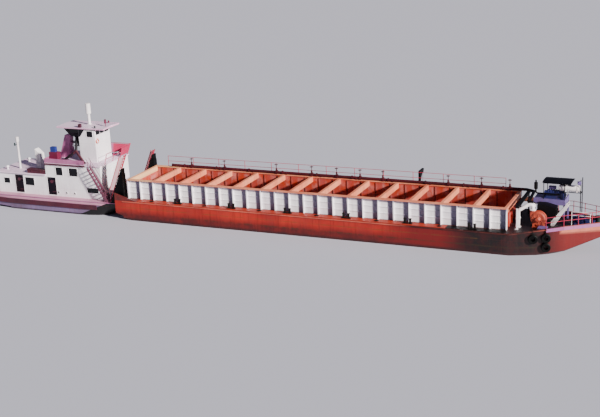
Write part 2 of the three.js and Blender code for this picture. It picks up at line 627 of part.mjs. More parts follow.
// Pusher hull
// Columns: x, deck half, deck z, chine half, chine z, keel half, keel z
const pusherSections = [
  [-35.8, 2.6, pusherDeck, 2.5, 0.55, 2.2, 0.4],
  [-34.6, 3.1, pusherDeck, 3.0, 0.3, 2.7, counterZ],
  [-31.9, 3.3, pusherDeck, 3.3, 0.2, 2.9, counterZ],
  [-29.6, 3.3, pusherDeck, 3.3, -0.7, 2.9, -1.2],
  [-24.4, 3.3, pusherDeck, 3.3, -0.6, 2.9, -1.2],
  [-22.7, 3.3, pusherDeck, 3.25, 0.0, 2.8, -0.9],
  [-21.0, 3.25, pusherDeck, 3.15, 0.55, 2.6, -0.2],
  [pusherStem, 3.1, pusherDeck, 3.0, 1.1, 2.5, 0.75],
]
const tubeEnd = -31.7

function pusherHull() {
  const shell = loft(pusherSections.map(row => hullRing(row)))
  const gear = sides.flatMap(([, side]) => [
    rod([-29.9, side * shaftY, shaftZ], [tubeEnd, side * shaftY, shaftZ], 0.16, 12),
    box([tubeEnd + 0.03, tubeEnd + 0.28], [side * shaftY - 0.03, side * shaftY + 0.03],
      [shaftZ, counterZ + 0.2]),
  ])
  return join([shell, ...gear])
}
piece('pusher_hull', pusherHull(), hullLilac)

// Rub rail round the sides and stern, cut to the hull's shape
function rubRail() {
  const grown = (grow, past) => loft(pusherSections.map((row, i) =>
    hullRing([row[0] - (i === 0 ? past : 0), ...row.slice(1)], grow)))
  const belt = grown(0.1, 0.1).intersect(box([-36.2, -21.6], [-4, 4], [0.6, 1.05]))
  return belt.subtract(grown(gap, gap))
}
piece('rub_rail', rubRail(), railMaroon)

// Push knees: a fendered face on the barge's transom, with a ladder up the slanted back.
// The starboard ladder reaches higher.
const ladder = { foot: [-20.1, 1.42], slope: 2.33, half: 0.2, top: { starboard: 6.15, port: 5.25 } }

function pushKnee(name, side) {
  const face = transom - gap
  const plate = prism([
    [face, 1.15], [face, 4.3], [-18.75, 4.3], [-19.95, pusherDeck + gap],
    [pusherStem + gap, pusherDeck + gap], [pusherStem + gap, 1.15],
  ], 'y', between(side, 2.6, 3.2))
  const y = side * 2.9
  const { foot, slope, half } = ladder
  const xAt = z => foot[0] + (z - foot[1]) / slope
  const top = ladder.top[name]
  const rails = [-half, half].map(dy =>
    rod([foot[0], y + dy, foot[1]], [xAt(top), y + dy, top], 0.045, 6))
  // Columns: height, length of the stay towards the knee
  const stays = [[2.0, 0.35], [3.08, 0.35], [4.15, 0.35], [top - 0.06, 0.02]].map(([z, reach]) =>
    box([xAt(z) - 0.02, xAt(z) + reach], [y - half - 0.02, y + half + 0.02], [z - 0.03, z + 0.03]))
  return join([plate, ...rails, ...stays])
}
for (const [name, side] of sides) piece(`push_knee_${name}`, pushKnee(name, side), rubberBlack)

// Deckhouse walls. Openings are rows of: x from, x to, z from, z to
const doorSill = 1.5
const doorHead = 3.3
const houseDoor = [-31.5, -30.5, doorSill, doorHead]
const blockDoor = [-27.6, -26.6, doorSill, doorHead]
const houseWindows = [[-32.9, -32.15, 2.35, 2.9], [-30.3, -29.2, 2.3, 3.1]]
const blockWindows = [[-26.5, -25.7, 3.55, 4.35], [-24.95, -23.95, 3.55, 4.35],
  [-23.0, -21.7, 2.0, 2.5]]

function sideWall({ aft, fore, top }, side, openings, foot = pusherDeck, half = houseHalf) {
  const y = between(side, half - wall, half)
  const plate = box([aft, fore - gap], y, [foot + gap, top - gap])
  return cut(plate, openings.map(([x0, x1, z0, z1]) =>
    box([x0, x1], [y[0] - 0.1, y[1] + 0.1], [z0, z1])))
}

function crossWall(x, half, z, openings) {
  const plate = box(x, [-half, half], z)
  return cut(plate, openings.map(([y0, y1, z0, z1]) =>
    box([x[0] - 0.1, x[1] + 0.1], [y0, y1], [z0, z1])))
}

for (const [name, side] of sides) {
  piece(`house_side_${name}`, sideWall(house, side, [houseDoor, ...houseWindows]), houseWhite)
  const openings = side < 0 ? [blockDoor, ...blockWindows] : blockWindows
  piece(`block_side_${name}`, sideWall(block, side, openings), houseWhite)
}
const inner = houseHalf - wall - gap
piece('house_aft_wall', crossWall([house.aft, house.aft + wall], inner,
  [pusherDeck + gap, house.top - gap], [[-1.6, -0.8, 2.3, 3.1], [0.8, 1.6, 2.3, 3.1]]), houseWhite)
piece('block_aft_wall', crossWall([block.aft, block.aft + wall], inner,
  [pusherDeck + gap, block.top - gap], [[-0.4, 0.4, doorSill, doorHead]]), houseWhite)
piece('block_front_wall', crossWall([block.fore - wall - gap, block.fore - gap], inner,
  [pusherDeck + gap, block.top - gap],
  [[-1.9, -1.1, 3.4, 4.2], [-0.4, 0.4, 3.4, 4.2], [1.1, 1.9, 3.4, 4.2]]), houseWhite)

// Roofs
piece('house_roof', box([house.aft - 0.15, house.fore - gap], [-2.65, 2.65],
  [house.top, house.top + roofSlab]), roofLilac)
piece('block_roof', box([block.aft, block.fore + 0.08], [-2.6, 2.6],
  [block.top, block.top + roofSlab]), roofLilac)

// Railing on the raised roof's port side and front, leaning outwards, with sheet screens
// by its corner, and a low bulwark on the roof's other edges
function roofRailing() {
  const foot = blockRoofTop
  const height = 1.05
  const lean = { x: 0.3, y: 0.25 }
  // Columns: x, y at the foot, share of the lean forward, share of the lean to port
  const route = [[-27.64, 2.5, 0, 0], [-25.5, 2.5, 0, 1], [-23.4, 2.5, 0, 1], [-21.3, 2.5, 1, 1],
    [-21.3, 1.2, 1, 0], [-21.3, -0.2, 1, 0], [-21.3, -1.6, 1, 0]]
  const at = ([x, y, forward, aside], lift) =>
    [x + lean.x * forward * lift / height, y + lean.y * aside * lift / height, foot + lift]
  const posts = route.map(row => rod(at(row, 0.02), at(row, height), 0.03, 6))
  const feet = route.map(([x, y]) => box([x - 0.05, x + 0.05], [y - 0.05, y + 0.05], [foot, foot + 0.04]))
  const rails = [0.52, height - 0.03].flatMap(lift => route.slice(1).map((row, i) =>
    rod(at(route[i], lift), at(row, lift), 0.026, 6)))
  const screens = [[2, 3], [3, 4]].map(([from, to]) => {
    const [a, b] = [route[from], route[to]]
    const inwards = from === 2 ? [0, -0.03] : [-0.03, 0]
    const corners = [at(a, 0.12), at(b, 0.12), at(b, height - 0.1), at(a, height - 0.1)]
    return loft([corners, corners.map(([x, y, z]) => [x + inwards[0], y + inwards[1], z])])
  })
  const bulwarkHeight = [foot, foot + 0.45]
  const starboard = box([-27.66, -23.05], [-2.58, -2.54], bulwarkHeight)
  const aft = box([-27.66, -27.62], [-2.57, 2.52], [foot, foot + 0.44])
  return join([...posts, ...feet, ...rails, ...screens, starboard, aft])
}
piece('roof_railing', roofRailing(), railRed)

// Tower with the wheelhouse windows at its top
const towerHalf = tower.half
const towerDoor = [-23.7, -22.9, 4.9, 6.7]
const towerSideWindow = [-23.3, -22.6, 7.25, 7.85]

for (const [name, side] of sides) {
  const openings = side > 0 ? [towerSideWindow, towerDoor] : [towerSideWindow]
  piece(`tower_side_${name}`, sideWall(tower, side, openings, tower.foot, towerHalf), houseWhite)
}
const towerInner = towerHalf - wall - gap
const towerHeight = [tower.foot + gap, tower.top - gap]
piece('tower_front', crossWall([tower.fore - wall - gap, tower.fore - gap], towerInner, towerHeight,
  [[-1.1, -0.42, 7.42, 7.9], [-0.34, 0.34, 7.42, 7.9], [0.42, 1.1, 7.42, 7.9]]), houseWhite)
piece('tower_aft', crossWall([tower.aft, tower.aft + wall], towerInner, towerHeight,
  [[-0.9, 0.9, 7.3, 7.95]]), houseWhite)

// Dark bay behind the tower's top: a floor and three glazed sides that lean outwards
const bay = {
  floor: { z: 7.15, aft: -25.4, half: 0.92 },
  top: { z: tower.top - gap, aft: -26.1, half: 1.12 },
}

function wheelhouseBay() {
  const fore = tower.aft - gap
  const ring = (z, inset, end) => {
    const share = (z - bay.floor.z) / (bay.top.z - bay.floor.z)
    const aft = bay.floor.aft + (bay.top.aft - bay.floor.aft) * share + inset * 1.3
    const half = bay.floor.half + (bay.top.half - bay.floor.half) * share - inset
    return [[aft, -half, z], [end, -half, z], [end, half, z], [aft, half, z]]
  }
  const shell = loft([ring(bay.floor.z, 0, fore), ring(bay.top.z, 0, fore)])
  const room = loft([ring(bay.floor.z + wall, wall, fore + 0.1), ring(bay.top.z + 0.1, wall, fore + 0.1)])
  const sideGlass = box([-25.45, fore - 0.15], [-2, 2], [7.5, 7.92])
  const aftGlass = box([-26.3, -25.4], [-0.8, 0.8], [7.5, 7.92])
  return cut(shell, [room, sideGlass, aftGlass])
}
piece('wheelhouse_bay', wheelhouseBay(), doorDark)

// Under the bay a post on an A-frame at each side, tied across, and aft of them a raked
// casing that they hold
function baySupport() {
  const foot = blockRoofTop
  const headX = -24.85
  const tieAt = { x: -24.62, z: 6.3 }
  const tie = rod([tieAt.x, -1.35, tieAt.z], [tieAt.x, 1.35, tieAt.z], 0.06, 8)
  const frames = sides.flatMap(([, side]) => {
    const apex = [-24.5, side * 1.56, 5.85]
    // The port frame's fore leg stands further aft, clear of the tower's door
    const foreFoot = side > 0 ? -24.35 : -23.5
    const feet = [-25.9, foreFoot].flatMap(x => [
      rod(apex, [x, side * 1.9, foot + 0.12], 0.13, 8),
      box([x - 0.2, x + 0.2], [side * 1.9 - 0.16, side * 1.9 + 0.16], [foot, foot + 0.1]),
    ])
    const post = rod(apex, [headX, side * 0.75, bay.floor.z - gap], 0.13, 10)
    const head = box([headX - 0.15, headX + 0.15], between(side, 0.6, 0.9),
      [bay.floor.z - 0.08, bay.floor.z - gap])
    return [...feet, post.subtract(box([-26, -23], [-2, 2], [bay.floor.z - gap, 8])), head]
  })
  const casingRing = (aft, fore, z) => [[-0.2, aft], [0.35, aft], [0.35, fore], [-0.2, fore]]
    .map(([y, x]) => [x, y, z])
  const casing = loft([casingRing(-27.5, -26.4, foot), casingRing(-26.65, -25.95, 7.05)])
  const web = box([-26.3, tieAt.x + 0.02], [-0.1, 0.25], [tieAt.z - 0.05, tieAt.z + 0.05])
  return join([tie, web, ...frames, casing])
}
piece('bay_support', baySupport(), railMaroon)

// Wheelhouse roof with a crowned top
function wheelhouseRoof() {
  const [x0, x1] = [-26.6, -21.25]
  const z = tower.top
  const outline = [[-1.4, z], [1.4, z], [1.4, z + 0.1], [0, z + 0.17], [-1.4, z + 0.1]]
  return prism(outline, 'x', [x0, x1])
}
piece('wheelhouse_roof', wheelhouseRoof(), roofLilac)

const crown = tower.top + 0.17
piece('mast', join([
  box([-23.85, -23.55], [-0.15, 0.15], [crown - 0.02 + gap, crown + 0.05]).intersect(
    box([-24, -23], [-1, 1], [crown + gap, 9])),
  rod([-23.7, 0, crown + 0.03], [-23.7, 0, 9.4], 0.14, 10),
  rod([-23.7, 0, 9.3], [-23.7, 0, 10.3], 0.25, 16),
]), pipeWhite)

piece('aft_mast', join([
  rod([-31.8, -1.1, houseRoofTop], [-31.8, -1.1, 6.7], 0.11, 12),
  rod([-31.8, -1.1, 6.3], [-31.8, -1.1, 6.8], 0.17, 12),
]), pipeWhite)
piece('funnel', prism([[-30.2, houseRoofTop], [-29.6, houseRoofTop], [-29.6, 5.0], [-30.2, 5.5]],
  'y', [-0.6, 0.1]), pipeWhite)

// Locker and tank on the raised roof's aft end
piece('roof_locker', join([
  box([-27.55, -26.6], [-1.85, -1.3], [blockRoofTop, 5.65]),
  box([-27.4, -26.85], [-1.78, -1.4], [5.64, 6.15]),
]), lockerPink)

piece('deck_stair', stair([-20.3, pusherDeck + gap], [-22.35, block.top + roofSlab],
  [-3.2, -2.65], 10, 0.9), stairRose)

// Doors, each around its hinge at the outer face
const leafPlay = 0.014
const leaf = 0.045

function door(name, [x0, x1, z0, z1], side, half) {
  const width = x1 - x0 - 2 * leafPlay
  const y = between(side, -0.01 - leaf, -0.01)
  const panel = box([-width, 0], y, [z0 + leafPlay, z1 - leafPlay])
  const handle = box([-width + 0.06, -width + 0.14], between(side, -0.02, 0.05),
    [(z0 + z1) / 2, (z0 + z1) / 2 + 0.04])
  const knuckles = [z0 + 0.3, z1 - 0.4].map(z =>
    rod([0, 0, z], [0, 0, z + 0.1], leafPlay - gap, 8))
  piece(name, join([panel, handle, ...knuckles]), doorDark, [x1 - leafPlay, side * half, 0])
}
door('house_door_starboard', houseDoor, -1, houseHalf)
door('house_door_port', houseDoor, 1, houseHalf)
door('block_door_starboard', blockDoor, -1, houseHalf)
door('tower_door', towerDoor, 1, towerHalf)

// Propellers and rudders
function propeller() {
  const hub = rod([0, 0, 0], [-0.42, 0, 0], 0.13, 14, 0.09)
  const blades = Array.from({ length: 4 }, (_, i) => i * Math.PI / 2).map(turn => {
    const pitch = 0.6
    const rings = [[0.06, 0.1], [0.3, 0.2], [0.5, 0.12]].map(([r, half]) => {
      const twist = pitch * (1.3 - r)
      const along = [Math.sin(twist) * half, Math.cos(twist) * half]
      const across = [Math.cos(twist) * 0.012, -Math.sin(twist) * 0.012]
      return [[1, 1], [-1, 1], [-1, -1], [1, -1]].map(([a, b]) => {
        const x = -0.22 + a * along[0] + b * across[0]
        const t = a * along[1] + b * across[1]
        return [x, r * Math.cos(turn) - t * Math.sin(turn), r * Math.sin(turn) + t * Math.cos(turn)]
      })
    })
    return loft(rings)
  })
  return join([hub, ...blades])
}

function rudder() {
  const blade = prism([[0.22, 0.02], [0.22, -0.02], [0.02, -0.06], [-0.8, -0.015], [-0.8, 0.015],
    [0.02, 0.06]], 'z', [-1.15, -0.08])
  const stock = rod([0, 0, -0.3], [0, 0, counterZ - 0.001], 0.05, 12)
  return join([blade, stock])
}
for (const [name, side] of sides) {
  piece(`propeller_${name}`, propeller(), bronze, [tubeEnd - runningGap, side * shaftY, shaftZ])
  piece(`rudder_${name}`, rudder(), hullRed, [-33.0, side * shaftY, 0])
}

export default dredger
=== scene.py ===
# %% Opening the frame
import math

import bmesh
import bpy
from mathutils import Matrix, Vector
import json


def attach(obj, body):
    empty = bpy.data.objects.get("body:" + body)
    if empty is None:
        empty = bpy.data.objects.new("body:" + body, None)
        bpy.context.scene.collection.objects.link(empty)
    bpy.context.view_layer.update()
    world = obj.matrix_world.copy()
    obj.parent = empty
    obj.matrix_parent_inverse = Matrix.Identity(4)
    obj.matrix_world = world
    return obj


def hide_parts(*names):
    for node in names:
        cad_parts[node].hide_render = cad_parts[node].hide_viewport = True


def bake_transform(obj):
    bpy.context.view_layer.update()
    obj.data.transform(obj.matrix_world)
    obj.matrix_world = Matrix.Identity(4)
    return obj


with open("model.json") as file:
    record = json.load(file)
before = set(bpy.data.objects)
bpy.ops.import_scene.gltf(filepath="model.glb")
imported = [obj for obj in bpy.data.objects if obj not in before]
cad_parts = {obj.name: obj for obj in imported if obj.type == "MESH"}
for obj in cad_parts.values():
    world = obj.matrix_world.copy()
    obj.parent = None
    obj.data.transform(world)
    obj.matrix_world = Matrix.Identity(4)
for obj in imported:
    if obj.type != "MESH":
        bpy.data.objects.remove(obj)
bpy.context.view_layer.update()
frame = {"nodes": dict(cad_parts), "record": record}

# %% [markdown]
# # A sand dredger at half size
# The craft is two hulls lashed end to end: a long hopper barge with a dredge pump on
# its bow, and a pusher boat behind it. The CAD model brings every solid in its true
# place. This lesson gives each solid its paint, rust and dirt, and adds the small
# things that a shipyard would bolt or weld on afterwards.
#
# All places below are written in real metres, as on the full-size craft. The model is
# half that size, so one constant turns them into model metres. The levels that many
# pieces stand on are named here too.

# %% Units and levels
METRE = 0.5
SIDES = (-1, 1)
UP, FORE, PORT, STARBOARD = Vector((0, 0, 1)), Vector((1, 0, 0)), Vector((0, 1, 0)), Vector((0, -1, 0))
BARGE_DECK, RAIL_TOP = 1.871, 3.751
PUSHER_DECK, HOUSE_ROOF, BLOCK_ROOF = 1.401, 3.552, 4.752


def at(x, y, z):
    """A point given in real metres, in the model's frame."""
    return Vector((x, y, z)) * METRE


print("one real metre is", METRE, "in the model")

# %% [markdown]
# ## The camera
# The photograph looks down on the starboard side from a high bridge or a cliff. The
# camera's place and turn were worked out from the barge's own straight lines: the
# deck edge, the coaming's rail, the uprights and the crossbeams.

# %% Camera
eye = at(38.703, -88.989, 31.031)
right = Vector((0.91565, 0.39935, -0.04595))
up = Vector((-0.07599, 0.28422, 0.95575))
ahead = Vector((-0.39474, 0.87162, -0.29060))
camera_data = bpy.data.cameras.new("photo_camera")
camera_data.sensor_width = 36
camera_data.lens = 66.84
camera_data.clip_end = 400
camera = bpy.data.objects.new("photo_camera", camera_data)
turn = Matrix((right, up, -ahead)).transposed().to_4x4()
camera.matrix_world = Matrix.Translation(eye) @ turn
bpy.context.scene.collection.objects.link(camera)
bpy.context.scene.camera = camera
print("camera at", tuple(round(v, 2) for v in eye))

# %% [markdown]
# ## Floor
# A craft afloat is shown with a pale floor in the place of the water, at the
# waterline, so the floor cuts the hulls where the water would. The hold is deeper than
# that, so the floor has an opening there, hidden by the hull: a face is inset in the
# sheet, its corners are moved to the hold's, and it is deleted.

# %% Floor
FLOOR_REACH = 240
# The opening's half length and half width, in model metres
HOLD_OPENING = (9.05, 1.35)
stage_mesh = bmesh.new()
bmesh.ops.create_grid(stage_mesh, x_segments=1, y_segments=1, size=FLOOR_REACH)
bmesh.ops.inset_region(stage_mesh, faces=stage_mesh.faces[:], thickness=1.0, use_boundary=True)
opening = max(stage_mesh.faces, key=lambda face: face.calc_area())
for v in opening.verts:
    v.co.x = math.copysign(HOLD_OPENING[0], v.co.x)
    v.co.y = math.copysign(HOLD_OPENING[1], v.co.y)
bmesh.ops.delete(stage_mesh, geom=[opening], context="FACES")
floor_mesh = bpy.data.meshes.new("floor")
stage_mesh.to_mesh(floor_mesh)
stage_mesh.free()
floor = bpy.data.objects.new("floor", floor_mesh)
bpy.context.scene.collection.objects.link(floor)
floor_finish = bpy.data.materials.new("pale_floor")
floor_finish.use_nodes = True
floor_shader = floor_finish.node_tree.nodes["Principled BSDF"]
floor_shader.inputs["Base Color"].default_value = (0.50, 0.50, 0.57, 1)
floor_shader.inputs["Roughness"].default_value = 0.9
floor_mesh.materials.append(floor_finish)
print("the floor reaches", FLOOR_REACH, "m each way, at z 0")

# %% [markdown]
# ## Light
# In the photograph the sun stands low over the starboard bow: each upright of the
# coaming throws a shadow over nearly half of the bay behind it. A warm sun does the
# same here, with a pale sky around it that fills the shadows, and painted shade on the
# coaming's plates deepens the shadow behind each upright.

# %% Sun and sky
sun_data = bpy.data.lights.new("soft_sun", "SUN")
sun_data.energy = 9.5
sun_data.angle = math.radians(4)
sun_data.color = (1.0, 0.97, 0.92)
sun = bpy.data.objects.new("soft_sun", sun_data)
sun.rotation_euler = Vector((0.86, -0.36, 0.39)).to_track_quat("Z", "Y").to_euler()
bpy.context.scene.collection.objects.link(sun)

world = bpy.data.worlds.new("pale_sky")
world.use_nodes = True
sky = world.node_tree.nodes["Background"]
sky.inputs["Color"].default_value = (0.66, 0.68, 1.0, 1)
sky.inputs["Strength"].default_value = 0.2
bpy.context.scene.world = world
print("a sun of", sun_data.energy, "and a sky of", sky.inputs["Strength"].default_value)

# %% [markdown]
# ## Shader groups
# Paint on a working barge is never one colour. It fades in broad patches, rust breaks
# through in spots and runs down from every edge, and dust lies on what faces up. All
# the materials share these effects, so each effect is built once as a node group and
# placed in a material with its own colours and amounts.
#
# A helper adds one node and fills its sockets, either with a value or with a link.

# %% Helpers for node trees
SOCKETS = {
    "vector": "NodeSocketVector",
    "number": "NodeSocketFloat",
    "colour": "NodeSocketColor",
}


def add(tree, kind, sockets=None, **settings):
    """Adds a node. sockets maps a name or a place to a value or to another's output."""
    node = tree.nodes.new(kind)
    for key, value in settings.items():
        setattr(node, key, value)
    for key, value in (sockets or {}).items():
        if isinstance(value, bpy.types.NodeSocket):
            tree.links.new(value, node.inputs[key])
        else:
            node.inputs[key].default_value = value
    return node


def group(name, inlets, outlets):
    """A new node group with its named inputs and outputs."""
    tree = bpy.data.node_groups.new(name, "ShaderNodeTree")
    for socket, sort in inlets.items():
        tree.interface.new_socket(socket, in_out="INPUT", socket_type=SOCKETS[sort])
    for socket, sort in outlets.items():
        tree.interface.new_socket(socket, in_out="OUTPUT", socket_type=SOCKETS[sort])
    return tree, tree.nodes.new("NodeGroupInput").outputs, tree.nodes.new("NodeGroupOutput").inputs


def spread(tree, value, low, high):
    """Stretches value so that low gives 0 and high gives 1, and cuts it off there."""
    sockets = {"Value": value, "From Min": low, "From Max": high}
    return add(tree, "ShaderNodeMapRange", sockets).outputs["Result"]


def math_node(tree, operation, a, b):
    """One sum of two numbers or outputs."""
    return add(tree, "ShaderNodeMath", {0: a, 1: b}, operation=operation).outputs[0]


def mixed(tree, factor, a, b):
    """Colour a where factor is 0 and colour b where it is 1."""
    node = add(tree, "ShaderNodeMix", {0: factor, 6: a, 7: b}, data_type="RGBA")
    return node.outputs[2]


def noise(tree, place, scale, detail=4.0, roughness=0.6, stretch=(1, 1, 1)):
    """Cloudy noise from 0 to 1, stretched along the axes when asked."""
    if stretch != (1, 1, 1):
        place = add(tree, "ShaderNodeMapping", {"Vector": place, "Scale": stretch}).outputs[0]
    sockets = {"Vector": place, "Scale": scale, "Detail": detail, "Roughness": roughness}
    return add(tree, "ShaderNodeTexNoise", sockets).outputs["Fac"]


print("socket sorts", sorted(SOCKETS))

# %% [markdown]
# The first group is worn paint. It mixes a fresh and a faded paint by a broad noise,
# then lays two kinds of rust over it: runs, from a noise that is drawn out
# downwards, and blisters, from a rough noise that is cut off sharply.

# %% Worn paint
worn, worn_in, worn_out = group(
    "Worn paint",
    {"Place": "vector", "Paint": "colour", "Faded": "colour", "Rust": "colour", "Dirt": "colour",
     "Runs": "number", "Blisters": "number", "Grime": "number"},
    {"Colour": "colour", "Roughness": "number", "Height": "number"},
)
drift = spread(worn, noise(worn, worn_in["Place"], 0.9, 3.0), 0.35, 0.65)
paint = mixed(worn, drift, worn_in["Paint"], worn_in["Faded"])
run_noise = noise(worn, worn_in["Place"], 1.0, 6.0, 0.65, (9.0, 9.0, 0.9))
runs = math_node(worn, "MULTIPLY", spread(worn, run_noise, 0.52, 0.72), worn_in["Runs"])
blister_noise = noise(worn, worn_in["Place"], 3.2, 9.0, 0.72)
edge_level = add(worn, "ShaderNodeMapRange", {"Value": worn_in["Blisters"], "To Min": 0.80, "To Max": 0.46})
over = math_node(worn, "SUBTRACT", blister_noise, edge_level.outputs["Result"])
blisters = spread(worn, over, 0.0, 0.05)
rusted = math_node(worn, "MAXIMUM", runs, blisters)
grime_noise = noise(worn, worn_in["Place"], 2.0, 7.0, 0.7, (1.0, 1.0, 0.35))
grime = math_node(worn, "MULTIPLY", spread(worn, grime_noise, 0.45, 0.75), worn_in["Grime"])
surface = mixed(worn, rusted, mixed(worn, grime, paint, worn_in["Dirt"]), worn_in["Rust"])
speckle = noise(worn, worn_in["Place"], 26.0, 5.0, 0.7)
worn.links.new(surface, worn_out["Colour"])
gloss = add(worn, "ShaderNodeMapRange", {"Value": rusted, "To Min": 0.48, "To Max": 0.86})
pores = math_node(worn, "MULTIPLY", speckle, 0.08)
worn.links.new(math_node(worn, "ADD", gloss.outputs["Result"], pores), worn_out["Roughness"])
raised = math_node(worn, "MULTIPLY", rusted, math_node(worn, "ADD", speckle, 0.4))
grain = math_node(worn, "MULTIPLY", speckle, 0.25)
worn.links.new(math_node(worn, "ADD", raised, grain), worn_out["Height"])
print("worn paint has", len(worn.nodes), "nodes")

# %% [markdown]
# Some finishes change inside a known region: the hold's inside is bare rust while the
# hull's outside is painted, and a hull is darker near the water. The zone group gives
# 1 inside a box and 0 outside, with a soft edge. It reads Object coordinates, which
# are the model's own metres because every piece sits at the origin.

# %% Zone
zone, zone_in, zone_out = group(
    "Zone",
    {"Place": "vector", "Low": "vector", "High": "vector", "Edge": "number"},
    {"Mask": "number"},
)
above = add(zone, "ShaderNodeVectorMath", {0: zone_in["Place"], 1: zone_in["Low"]}, operation="SUBTRACT")
below = add(zone, "ShaderNodeVectorMath", {0: zone_in["High"], 1: zone_in["Place"]}, operation="SUBTRACT")
nearest = add(zone, "ShaderNodeVectorMath", {0: above.outputs[0], 1: below.outputs[0]}, operation="MINIMUM")
parts = add(zone, "ShaderNodeSeparateXYZ", {0: nearest.outputs[0]})
flat_depth = math_node(zone, "MINIMUM", parts.outputs[0], parts.outputs[1])
depth = math_node(zone, "MINIMUM", flat_depth, parts.outputs[2])
zone.links.new(spread(zone, depth, 0.0, zone_in["Edge"]), zone_out["Mask"])
print("zone has", len(zone.nodes), "nodes")

# %% [markdown]
# Steel hulls and houses are plates welded edge to edge. The seam group draws a thin
# line every so many metres along x and up z. A material uses it twice: as a raised
# bead, and as a faint line where rust starts.

# %% Plate seams
seams, seams_in, seams_out = group(
    "Plate seams",
    {"Place": "vector", "Length": "number", "Height": "number", "Width": "number"},
    {"Seam": "number"},
)
split = add(seams, "ShaderNodeSeparateXYZ", {0: seams_in["Place"]})
lines = []
for axis, pitch in ((0, "Length"), (2, "Height")):
    half = math_node(seams, "MULTIPLY", seams_in[pitch], 0.5)
    away = math_node(seams, "PINGPONG", split.outputs[axis], half)
    share = math_node(seams, "DIVIDE", away, seams_in["Width"])
    lines.append(spread(seams, share, 1.0, 0.0))
seams.links.new(math_node(seams, "MAXIMUM", lines[0], lines[1]), seams_out["Seam"])
print("seams have", len(seams.nodes), "nodes")

# %% [markdown]
# ## One builder for painted steel
# Nearly everything aboard is painted steel, so one function puts the groups together.
# First come its tools: a colour as linear light, a node group placed in a material,
# and three ways to change the coat locally.

# %% Local changes of a coat
def rgb(code):
    """A colour written as six hexadecimal digits, as linear light."""
    parts = [int(code[i:i + 2], 16) / 255 for i in (0, 2, 4)]
    return (*[p / 12.92 if p <= 0.04045 else ((p + 0.055) / 1.055) ** 2.4 for p in parts], 1)


def placed(tree, group_tree, sockets):
    """Puts a node group in a material."""
    return add(tree, "ShaderNodeGroup", sockets, node_tree=group_tree).outputs


def shade_behind_uprights(tree, place, colour, upright_shade):
    """Painted shade behind each upright, for the shadow that it throws: first, pitch, width, colour, share.
    """
    first, pitch, width, other, share = upright_shade
    along = add(tree, "ShaderNodeSeparateXYZ", {0: place}).outputs[0]
    in_bay = math_node(tree, "FLOORED_MODULO", math_node(tree, "SUBTRACT", along, first), pitch)
    behind = spread(tree, in_bay, pitch - width, pitch - width * 0.8)
    return mixed(tree, math_node(tree, "MULTIPLY", behind, share), colour, rgb(other))


def zoned(tree, place, colour, box):
    """A patchy coat of another colour in a box: low, high, edge, colour, share."""
    low, high, edge, other, share = box
    mask = placed(tree, zone, {"Place": place, "Low": low, "High": high, "Edge": edge})["Mask"]
    blot = spread(tree, noise(tree, place, 2.4, 8.0, 0.7), 0.40, 0.60)
    patchy = math_node(tree, "ADD", share, math_node(tree, "MULTIPLY", blot, 1.0 - share))
    return mixed(tree, math_node(tree, "MULTIPLY", mask, patchy), colour, rgb(other))


def slanted(tree, place, colour, slant):
    """Another paint forward of a leaning line: lean, front, edge, colour."""
    lean, front, edge, other = slant
    way = add(tree, "ShaderNodeSeparateXYZ", {0: place}).outputs
    leaned = math_node(tree, "SUBTRACT", way[0], math_node(tree, "MULTIPLY", way[2], lean))
    return mixed(tree, spread(tree, leaned, front, front + edge), colour, rgb(other))


print("half grey as linear light is", round(rgb("808080")[0], 3))

# %% [markdown]
# The function takes the paint fresh and faded, how much rust runs and blisters, the
# plates' size, and the local changes. Every measure in it is in model metres, because
# shaders see the model. The Principled shader stays in the material.

# %% Painted steel
RUST = "7a2f16"
MUD = "4a3c38"
SEAM_WIDTH = 0.006
FINISHES = {}


def painted(name, paint, faded, runs, blisters, grime=0.3, rust=RUST, dirt=MUD, plates=None, zones=(),
            slant=None, upright_shade=None, metallic=0.0, specular=0.5):
    """Makes a finish of painted steel and files it under its name."""
    finish = bpy.data.materials.new(name)
    finish.use_nodes = True
    tree = finish.node_tree
    shader = tree.nodes["Principled BSDF"]
    place = add(tree, "ShaderNodeTexCoord").outputs["Object"]
    coat = placed(tree, worn, {
        "Place": place, "Paint": rgb(paint), "Faded": rgb(faded), "Rust": rgb(rust), "Dirt": rgb(dirt),
        "Runs": runs, "Blisters": blisters, "Grime": grime})
    colour, height = coat["Colour"], coat["Height"]
    if upright_shade:
        colour = shade_behind_uprights(tree, place, colour, upright_shade)
    for box in zones:
        colour = zoned(tree, place, colour, box)
    if slant:
        colour = slanted(tree, place, colour, slant)
    if plates:
        seam = placed(tree, seams, {
            "Place": place, "Length": plates[0], "Height": plates[1], "Width": SEAM_WIDTH})["Seam"]
        colour = mixed(tree, math_node(tree, "MULTIPLY", seam, 0.35), colour, rgb(rust))
        height = math_node(tree, "ADD", height, seam)
    tree.links.new(colour, shader.inputs["Base Color"])
    tree.links.new(coat["Roughness"], shader.inputs["Roughness"])
    shader.inputs["Metallic"].default_value = metallic
    shader.inputs["Specular IOR Level"].default_value = specular
    relief = add(tree, "ShaderNodeBump", {"Height": height, "Strength": 0.4, "Distance": 0.006})
    tree.links.new(relief.outputs["Normal"], shader.inputs["Normal"])
    FINISHES[name] = finish


print("rust is", RUST)

# %% [markdown]
# ## Coats for each part of the craft
# The barge's hull is red oxide paint with long rust runs, darker where it is wetted.
# Its hold has lost all paint to the sand, so a zone turns it into bare rust. The
# coaming's plates are off-white outside and rusty inside.
#
# The zones come first. Each has its two corners, the width of its soft edge, its
# colour, and how much of it shows at the least. Noise adds the rest in patches.

